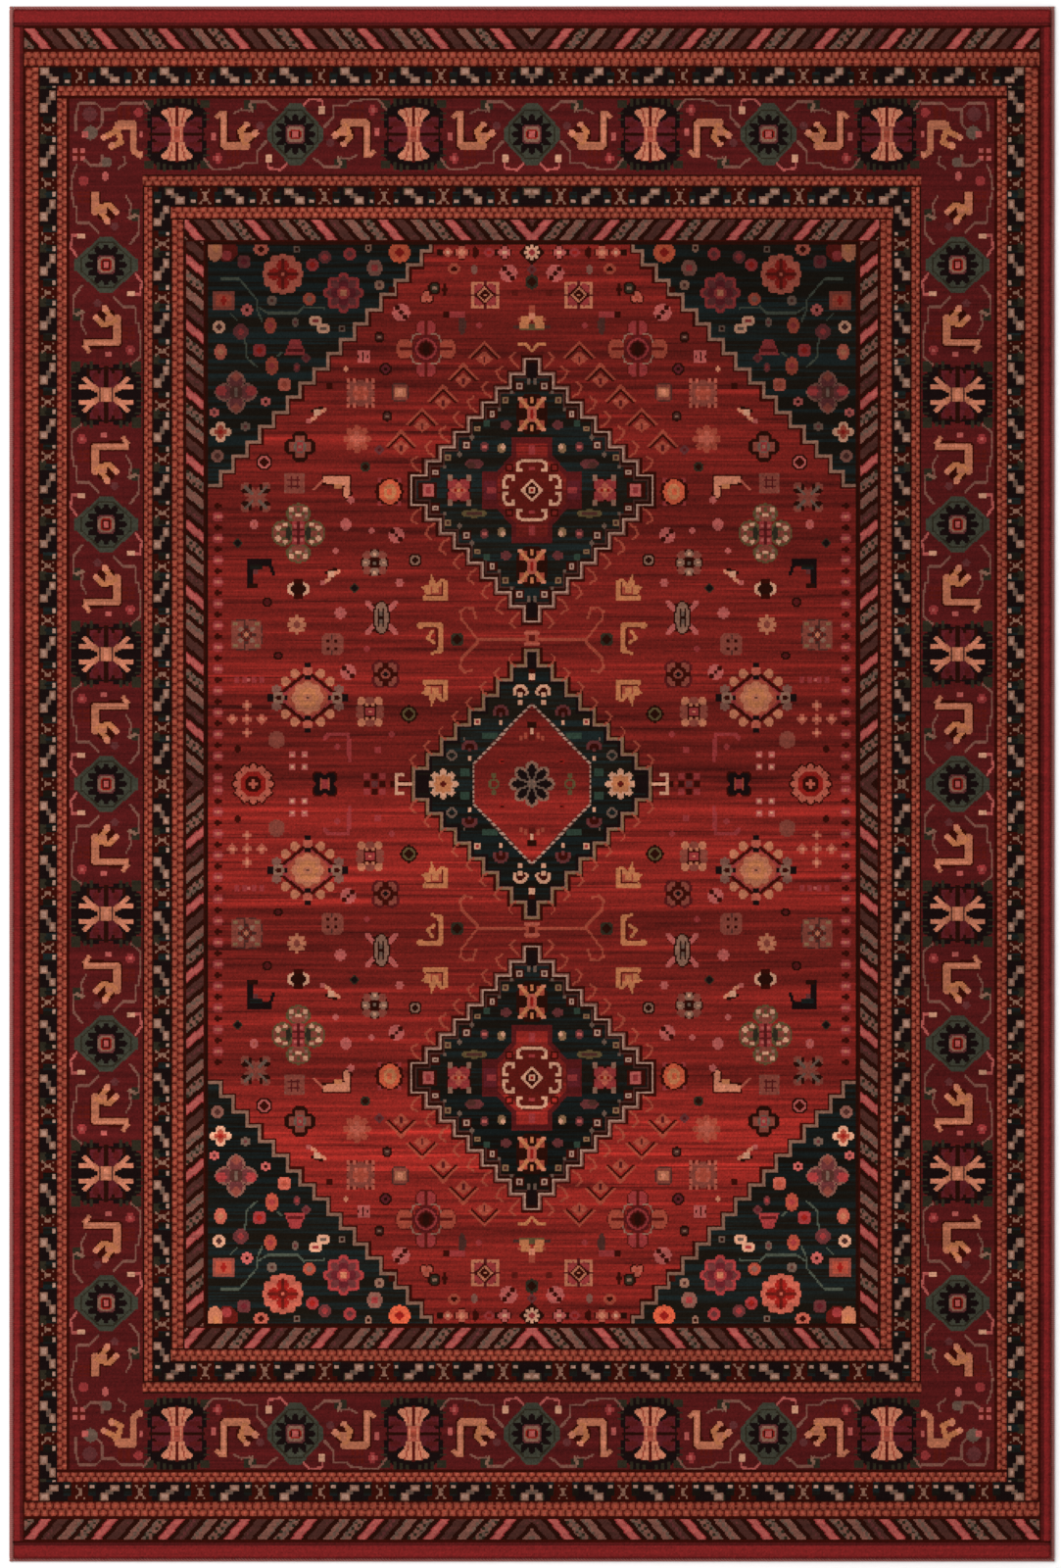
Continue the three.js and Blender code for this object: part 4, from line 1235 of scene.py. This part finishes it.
# %% The ribbed back
RIB_PITCH = 4.0 * MM
PRESSED = 1.5 * MM
RIB_HEIGHT, BACK_GRAIN = 0.22 * MM, 0.05 * MM
SIDE_EASE, END_EASE = 5 * MM, 4 * MM
BACK_MARGIN = 4 * MM
BACK_COLUMNS = 49
BACK_BASE = 0.1 * MM


def pressed(distance, width):
    """How far the underside is lifted near an edge: PRESSED at the edge, eased to nothing at width."""
    share = np.clip(1 - distance / width, 0, 1)
    return PRESSED * share * share * (3 - 2 * share)


TAPE_LOW, TAPE_HIGH = node_box("end_tape_head")
OVER_LOW, OVER_HIGH = node_box("overcasting_right")
tape_reach = TAPE_HIGH[1] - TAPE_LOW[1]
ribs = 2 * round((GROUND_HIGH[1] - GROUND_LOW[1]) / RIB_PITCH)
back_end = OVER_HIGH[1]
back_y, back_x = np.meshgrid(
    np.linspace(-back_end, back_end, ribs + 1),
    np.concatenate([
        [GROUND_LOW[0]],
        np.linspace(GROUND_LOW[0] + BACK_MARGIN, GROUND_HIGH[0] - BACK_MARGIN, BACK_COLUMNS),
        [GROUND_HIGH[0]],
    ]),
    indexing="ij",
)
rib = RIB_HEIGHT * (np.arange(ribs + 1) % 2)[:, None]
lift = pressed(GROUND_HIGH[0] - abs(back_x), SIDE_EASE)
lift = lift + pressed(back_end - abs(back_y), tape_reach + END_EASE)
back_z = np.clip(lift, 0, PRESSED) + rib + BACK_GRAIN * dice.random(back_x.shape)
ground = closed_slab("ground_sheet", back_x, back_y, -back_z, -GROUND_HIGH[2] + BACK_BASE)
ground_points = np.array([v.co for v in ground.data.vertices])
ground_points[:, 2] *= -1
ground.data.vertices.foreach_set("co", ground_points.astype(np.float32).ravel())
ground.data.flip_normals()
ground.data.update()
print("back with", ribs // 2, "ribs")

# %% [markdown]
# Overcasting. The long sides are finished by winding a thick yarn round and round a cord.
# The surface is a tube carried along the side whose radius swells at each turn of the yarn, and the
# turns slant because the needle moves on as it goes round.

# %% Yarn wound round an edge
WRAP_PITCH = 2.5 * MM
WRAP_SIDES = 12
WRAP_STEPS = 4
SQUARENESS = 2.8
TACK_PITCH = 0.75 * MM


def wound(name, low, high, pitch, slant=0.35, groove=0.13):
    """A closed tube along y between two corners, wound with yarn.

    Its section is an ellipse drawn out towards a rectangle; its size shrinks by `groove` between two
    turns, and a turn's place along the tube shifts by `slant` of a pitch as the angle goes round.
    """
    length = high[1] - low[1]
    turns = max(3, round(length / pitch))
    steps_along = turns * WRAP_STEPS + 1
    share = np.arange(steps_along)[:, None] / WRAP_STEPS
    angle = (np.arange(WRAP_SIDES) * 2 * math.pi / WRAP_SIDES)[None, :]
    swell = abs(np.sin(math.pi * (share + slant * np.sin(angle)))) ** 0.6
    size = 1 - groove * (1 - swell)
    end = np.clip(np.minimum(share, turns - share) / 1.2, 0, 1)
    size = size * (0.72 + 0.28 * np.sqrt(end * (2 - end)))
    powers = abs(np.cos(angle)) ** SQUARENESS + abs(np.sin(angle)) ** SQUARENESS
    rounded = powers ** (-1 / SQUARENESS)
    middle = (low + high) / 2
    half = (high - low) / 2
    x = middle[0] + half[0] * size * rounded * np.cos(angle)
    z = middle[2] + half[2] * size * rounded * np.sin(angle)
    y = low[1] + length * share / turns + 0 * angle
    vertices = np.stack([x, y, z], -1).reshape(-1, 3)
    quads = tube_faces(1, steps_along, WRAP_SIDES)[:, [0, 3, 2, 1]]
    first = np.arange(WRAP_SIDES)
    faces = quads.tolist() + [first.tolist(), (len(vertices) - 1 - first).tolist()]
    piece = new_piece(name, vertices, faces)
    # crest is 1 on each turn of yarn and 0 in the groove between turns; the finish paints shade into the
    # grooves by it.
    crest = piece.data.attributes.new("crest", "FLOAT", "POINT")
    crest.data.foreach_set("value", np.broadcast_to(swell, x.shape).astype(np.float32).ravel())
    return piece


overcasting = {}
for side in ("right", "left"):
    low, high = node_box("overcasting_" + side)
    overcasting[side] = wound("overcast_" + side, low, high, WRAP_PITCH)
tacks = {}
for end in ("head_right", "foot_left", "foot_right", "head_left"):
    low, high = node_box("corner_tack_" + end)
    tacks[end] = wound("bar_tack_" + end, low, high, TACK_PITCH, slant=0.2)
print("turns of yarn on a side:", round((OVER_HIGH[1] - OVER_LOW[1]) / WRAP_PITCH))

# %% [markdown]
# End tapes. A woven tape is folded over each cut end and sewn through from below, so that the weave
# can't ravel. Its section is a flat hook: a wide leg under the rug with the sewn groove, the round
# fold at the end, and a narrow leg on top. The section is carried across the rug.

# %% Taped ends
TAPE_STEPS = 500
TAPE_SECTION = [  # millimetres in from the fold's outer face, and up from the floor
    (22.0, 0.15), (20.5, 0.02), (19.0, 0.1), (18.5, 0.45), (18.0, 0.56), (17.5, 0.45), (17.0, 0.1),
    (15.5, 0.02), (9.0, 0.02), (2.0, 0.02), (0.9, 0.2), (0.25, 0.75), (0.02, 1.6), (0.02, 3.0),
    (0.25, 3.9), (0.9, 4.5), (1.8, 4.68), (3.4, 4.66), (4.2, 4.5), (4.5, 4.1), (4.3, 3.7), (3.7, 3.52),
    (1.6, 3.4), (1.2, 3.0), (1.2, 1.6), (1.6, 1.3), (6.0, 1.22), (15.0, 1.22), (21.0, 1.2), (22.0, 0.8),
]


def tape(name, end):
    """The section carried across the rug, puckered a little by the sewing: its width swings slowly."""
    low, high = node_box(name)
    section = np.array(TAPE_SECTION) * MM
    count = len(section)
    x = np.linspace(low[0], high[0], TAPE_STEPS)[:, None]
    pucker = 1 + 0.006 * np.sin(x / 0.0053) * np.sin(x / 0.041)
    inwards = section[None, :, 0] * pucker
    y = end * (high[1] - inwards) if end > 0 else low[1] + inwards
    z = section[None, :, 1] + 0 * x
    vertices = np.stack([x + 0 * y, y, z], -1).reshape(-1, 3)
    quads = tube_faces(1, TAPE_STEPS, count)
    first = np.arange(count)
    faces = quads.tolist() + [first[::-1].tolist(), (first + (TAPE_STEPS - 1) * count).tolist()]
    piece = new_piece(name.replace("end_tape", "tape"), vertices, faces)
    if end > 0:
        piece.data.flip_normals()
    return piece


tapes = {"head": tape("end_tape_head", 1), "foot": tape("end_tape_foot", -1)}
print("tapes", [len(piece.data.polygons) for piece in tapes.values()], "faces")

# %% [markdown]
# The sewing thread shows as a row of long stitches in the tape's groove. Each stitch is a short
# spindle that dives into the tape at both ends.

# %% Stitches
STITCH_PITCH = 5.0 * MM
STITCH_LENGTH = 4.2 * MM
STITCH_SIDES = 6
STITCH_LEVELS = 5


def stitches(name, node):
    """Spindles in a row: a ring of points whose radius follows a half circle along the stitch."""
    low, high = node_box(node)
    middle = (low + high) / 2
    count = int((high[0] - low[0]) / STITCH_PITCH)
    start = np.linspace(low[0], high[0] - STITCH_LENGTH, count)[:, None, None]
    share = np.linspace(0.04, 0.96, STITCH_LEVELS)[None, :, None]
    angle = (np.arange(STITCH_SIDES) * 2 * math.pi / STITCH_SIDES)[None, None, :]
    radius = 0.24 * MM * np.sqrt(4 * share * (1 - share))
    x = start + STITCH_LENGTH * share + 0 * angle
    y = middle[1] + radius * np.cos(angle) + 0 * start
    z = middle[2] + radius * np.sin(angle) + 0 * start
    vertices = np.stack([x, y, z], -1).reshape(-1, 3)
    quads = tube_faces(count, STITCH_LEVELS, STITCH_SIDES)
    begin = np.arange(count)[:, None] * STITCH_LEVELS * STITCH_SIDES + np.arange(STITCH_SIDES)
    caps = begin[:, ::-1].tolist() + (begin + (STITCH_LEVELS - 1) * STITCH_SIDES).tolist()
    return new_piece(name, vertices, quads.tolist() + caps)


seams = {end: stitches("stitches_" + end, "end_thread_" + end) for end in ("head", "foot")}
print("stitches in a row:", len(seams["head"].data.polygons) // (STITCH_SIDES * (STITCH_LEVELS - 1) + 2))

# %% [markdown]
# Finishes. All of them are textiles, so two effects are shared: the fine fuzz of spun fibres, and
# the relief of a weave. Each is a node group that is built once and used with its own numbers.

# %% Shared effect: fibres


def new_group(name, inputs, outputs):
    """An empty node group with sockets: each input is (name, kind, value), each output (name, kind)."""
    group = bpy.data.node_groups.new(name, "ShaderNodeTree")
    for label, kind, value in inputs:
        socket = group.interface.new_socket(label, in_out="INPUT", socket_type=kind)
        if value is not None:
            socket.default_value = value
    for label, kind in outputs:
        group.interface.new_socket(label, in_out="OUTPUT", socket_type=kind)
    return group, group.nodes.new("NodeGroupInput"), group.nodes.new("NodeGroupOutput")


def new_node(nodes, kind, values):
    """A shader node of a kind, with numbers for some of its inputs."""
    node = nodes.new("ShaderNode" + kind)
    for label, value in values.items():
        node.inputs[label].default_value = value
    return node


def math_node(nodes, links, operation, first, second=None, third=None):
    """A Math node; each argument is a number or a socket."""
    node = nodes.new("ShaderNodeMath")
    node.operation = operation
    for place, value in enumerate((first, second, third)):
        if value is None:
            continue
        if isinstance(value, bpy.types.NodeSocket):
            links.new(value, node.inputs[place])
        else:
            node.inputs[place].default_value = value
    return node.outputs[0]


FLOAT, VECTOR = "NodeSocketFloat", "NodeSocketVector"
fibres, entry, leave = new_group(
    "fibres",
    [("Vector", VECTOR, None), ("Fineness", FLOAT, 900.0), ("Low", FLOAT, 0.8), ("High", FLOAT, 1.15)],
    [("Shade", FLOAT), ("Height", FLOAT)],
)
nodes, links = fibres.nodes, fibres.links
fuzz = new_node(nodes, "TexNoise", {"Detail": 3.0, "Roughness": 0.65})
links.new(entry.outputs["Vector"], fuzz.inputs["Vector"])
links.new(entry.outputs["Fineness"], fuzz.inputs["Scale"])
spread = new_node(nodes, "MapRange", {"From Min": 0.32, "From Max": 0.68})
links.new(fuzz.outputs["Fac"], spread.inputs["Value"])
links.new(entry.outputs["Low"], spread.inputs["To Min"])
links.new(entry.outputs["High"], spread.inputs["To Max"])
links.new(spread.outputs["Result"], leave.inputs["Shade"])
links.new(fuzz.outputs["Fac"], leave.inputs["Height"])
print("group", fibres.name)

# %% Shared effect: weave relief
weave_relief, entry, leave = new_group(
    "weave relief", [("Vector", VECTOR, None), ("Across", FLOAT, 1500.0), ("Along", FLOAT, 1500.0)],
    [("Height", FLOAT)],
)
nodes, links = weave_relief.nodes, weave_relief.links
split = nodes.new("ShaderNodeSeparateXYZ")
links.new(entry.outputs["Vector"], split.inputs[0])
humps = []
for axis, label in (("X", "Across"), ("Y", "Along")):
    turns_of = math_node(nodes, links, "MULTIPLY", split.outputs[axis], entry.outputs[label])
    humps.append(math_node(nodes, links, "ABSOLUTE", math_node(nodes, links, "SINE", turns_of)))
links.new(math_node(nodes, links, "MULTIPLY", humps[0], humps[1]), leave.inputs["Height"])
print("group", weave_relief.name)

# %% A textile finish


def textile(name, roughness, sheen, low, high, fineness, across_scale, along_scale, relief, bump):
    """A material that reads a piece's own coordinates, and the sockets to finish it with.

    Returns the material, its nodes and links, the shader, the fibre shade, and the coordinates.
    Roughness swings with the fibres; the bump adds the fibres' height to the weave's.
    """
    material = bpy.data.materials.new(name)
    material.use_nodes = True
    nodes, links = material.node_tree.nodes, material.node_tree.links
    shader = nodes["Principled BSDF"]
    shader.inputs["Specular IOR Level"].default_value = 0.01
    shader.inputs["Sheen Weight"].default_value = sheen
    shader.inputs["Sheen Roughness"].default_value = 0.6
    place = nodes.new("ShaderNodeTexCoord")
    effects = []
    for group, values in (
        (fibres, {"Fineness": fineness, "Low": low, "High": high}),
        (weave_relief, {"Across": across_scale, "Along": along_scale}),
    ):
        effect = nodes.new("ShaderNodeGroup")
        effect.node_tree = group
        for label, value in values.items():
            effect.inputs[label].default_value = value
        links.new(place.outputs["Object"], effect.inputs["Vector"])
        effects.append(effect)
    fibre, woven = effects
    height = math_node(
        nodes, links, "MULTIPLY_ADD", woven.outputs["Height"], relief, fibre.outputs["Height"]
    )
    lumps = new_node(nodes, "Bump", {"Strength": 1.0, "Distance": bump})
    links.new(height, lumps.inputs["Height"])
    links.new(lumps.outputs["Normal"], shader.inputs["Normal"])
    rough = math_node(nodes, links, "MULTIPLY_ADD", fibre.outputs["Height"], 0.25, roughness - 0.12)
    links.new(rough, shader.inputs["Roughness"])
    return material, nodes, links, shader, fibre.outputs["Shade"], place.outputs["Object"]


def tinted(nodes, links, colour, shade):
    """The colour times the shade, as a colour socket."""
    mix = nodes.new("ShaderNodeVectorMath")
    mix.operation = "SCALE"
    if isinstance(colour, bpy.types.NodeSocket):
        links.new(colour, mix.inputs[0])
    else:
        mix.inputs[0].default_value = linear(colour)
    links.new(shade, mix.inputs["Scale"])
    return mix.outputs[0]


def two_tone(nodes, links, first, second, share):
    """A colour between two given colours, by a share from 0 to 1, such as a yarn and a painted shade of it.
    """
    mix = nodes.new("ShaderNodeMix")
    mix.data_type = "RGBA"
    mix.inputs["A"].default_value = (*linear(first), 1.0)
    mix.inputs["B"].default_value = (*linear(second), 1.0)
    links.new(share, mix.inputs["Factor"])
    return mix.outputs["Result"]


def slanting(nodes, links, where, scale, distortion=0.0):
    """Slanting bands from 0 to 1, as in the twist of a yarn or the twill of a tape."""
    bands = new_node(nodes, "TexWave", {"Scale": scale, "Distortion": distortion})
    bands.bands_direction = "DIAGONAL"
    links.new(where, bands.inputs["Vector"])
    return bands.outputs["Fac"]


# %% Wool pile
wool, nodes, links, shader, shade_of, where = textile(
    "wool pile", 0.9, 0.01, 0.86, 1.16, 1100.0, math.pi / knot_wide, math.pi / knot_long, 0.8, 0.35 * MM
)
dye = nodes.new("ShaderNodeAttribute")
dye.attribute_name = "dye"
links.new(tinted(nodes, links, dye.outputs["Color"], shade_of), shader.inputs["Base Color"])
for piece in pile_strips + [pile_edge]:
    piece.data.materials.append(wool)
print(wool.name, "on", len(pile_strips) + 1, "pieces")

# %% Overcast yarn, tacks and cords
# The overcast yarn's own colour, and a painted shade of it for the grooves between the turns.
EDGE_YARN = (156, 96, 90)
EDGE_GROOVE_SHADE = (96, 38, 36)
overcast_finish, nodes, links, shader, shade_of, where = textile(
    "overcast yarn", 0.85, 0.2, 0.8, 1.15, 1400.0, 3000.0, 3000.0, 0.2, 0.2 * MM
)
# Painted shade: where crest is low, in the grooves, the yarn's colour goes to its darker shaded copy.
crest = nodes.new("ShaderNodeAttribute")
crest.attribute_name = "crest"
yarn_and_groove_shade = two_tone(nodes, links, EDGE_GROOVE_SHADE, EDGE_YARN, crest.outputs["Fac"])
links.new(tinted(nodes, links, yarn_and_groove_shade, shade_of), shader.inputs["Base Color"])
for piece in [*overcasting.values(), *tacks.values()]:
    piece.data.materials.append(overcast_finish)

CORD_COTTON = (196, 182, 156)
CORD_SHADOW = (128, 112, 88)
cord_finish, nodes, links, shader, shade_of, where = textile(
    "selvedge cord", 0.85, 0.1, 0.85, 1.1, 1800.0, 2500.0, 1100.0, 0.6, 0.2 * MM
)
twist = slanting(nodes, links, where, 260.0)
cord_colour = two_tone(nodes, links, CORD_SHADOW, CORD_COTTON, twist)
links.new(tinted(nodes, links, cord_colour, shade_of), shader.inputs["Base Color"])
for side in ("right", "left"):
    cord_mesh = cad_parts["selvedge_cord_" + side].data
    cord_mesh.materials.clear()
    cord_mesh.materials.append(cord_finish)
print(overcast_finish.name, "and", cord_finish.name)

# %% Jute back
JUTE = (168, 138, 104)
JUTE_DARK = (112, 84, 60)
back_finish, nodes, links, shader, shade_of, where = textile(
    "jute back", 0.92, 0.05, 0.78, 1.15, 700.0, math.pi / (2 * MM), math.pi / (2 * MM), 0.9, 0.4 * MM
)
slubs = new_node(nodes, "TexNoise", {"Scale": 90.0})
stretch = new_node(nodes, "Mapping", {"Scale": (0.12, 2.4, 1.0)})
links.new(where, stretch.inputs["Vector"])
links.new(stretch.outputs["Vector"], slubs.inputs["Vector"])
jute_colour = two_tone(nodes, links, JUTE_DARK, JUTE, slubs.outputs["Fac"])
links.new(tinted(nodes, links, jute_colour, shade_of), shader.inputs["Base Color"])
ground.data.materials.append(back_finish)
print(back_finish.name)

# %% Tape and sewing thread
# The tape's own pink, and a painted shade of it for the twill's diagonal lines.
TAPE_LIGHT = (158, 98, 92)
TAPE_TWILL_SHADE = (112, 52, 50)
tape_finish, nodes, links, shader, shade_of, where = textile(
    "end tape", 0.85, 0.15, 0.85, 1.1, 1500.0, math.pi / (0.8 * MM), math.pi / (0.8 * MM), 0.5, 0.15 * MM
)
# Painted shade: along the twill's slanting lines the tape's colour goes to its darker copy.
twill = slanting(nodes, links, where, 160.0, 0.6)
tape_and_twill_shade = two_tone(nodes, links, TAPE_TWILL_SHADE, TAPE_LIGHT, twill)
links.new(tinted(nodes, links, tape_and_twill_shade, shade_of), shader.inputs["Base Color"])
for piece in tapes.values():
    piece.data.materials.append(tape_finish)

# The thread's own red, and a painted shade of it for the grooves between its plies.
THREAD_LIGHT = (150, 60, 56)
THREAD_PLY_SHADE = (96, 30, 28)
thread_finish, nodes, links, shader, shade_of, where = textile(
    "sewing thread", 0.6, 0.1, 0.85, 1.15, 2500.0, 4000.0, 4000.0, 0.3, 0.08 * MM
)
# Painted shade: the ply's slanting bands darken the thread where the plies meet.
ply = slanting(nodes, links, where, 700.0)
thread_and_ply_shade = two_tone(nodes, links, THREAD_PLY_SHADE, THREAD_LIGHT, ply)
links.new(tinted(nodes, links, thread_and_ply_shade, shade_of), shader.inputs["Base Color"])
for piece in seams.values():
    piece.data.materials.append(thread_finish)
print(tape_finish.name, "and", thread_finish.name)

# %% [markdown]
# Last, each piece is tied to the body that it moves with, and the imported solid that it stands for is
# hidden.
# The rug is one sheet of cloth, and every piece goes with the root body.

# %% Tie the pieces to the solid model
for strip in pile_strips + [pile_edge]:
    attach(strip, "root")
    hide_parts("wool_pile")
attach(ground, "root")
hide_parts("ground_weave")
for side, piece in overcasting.items():
    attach(piece, "root")
    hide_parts("overcasting_" + side)
for end, piece in tacks.items():
    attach(piece, "root")
    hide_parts("corner_tack_" + end)
for end, piece in tapes.items():
    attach(piece, "root")
    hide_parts("end_tape_" + end)
for end, piece in seams.items():
    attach(piece, "root")
    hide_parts("end_thread_" + end)

# %% Print the visual model's box
low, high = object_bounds()
print("visual model, from", tuple(low), "to", tuple(high))
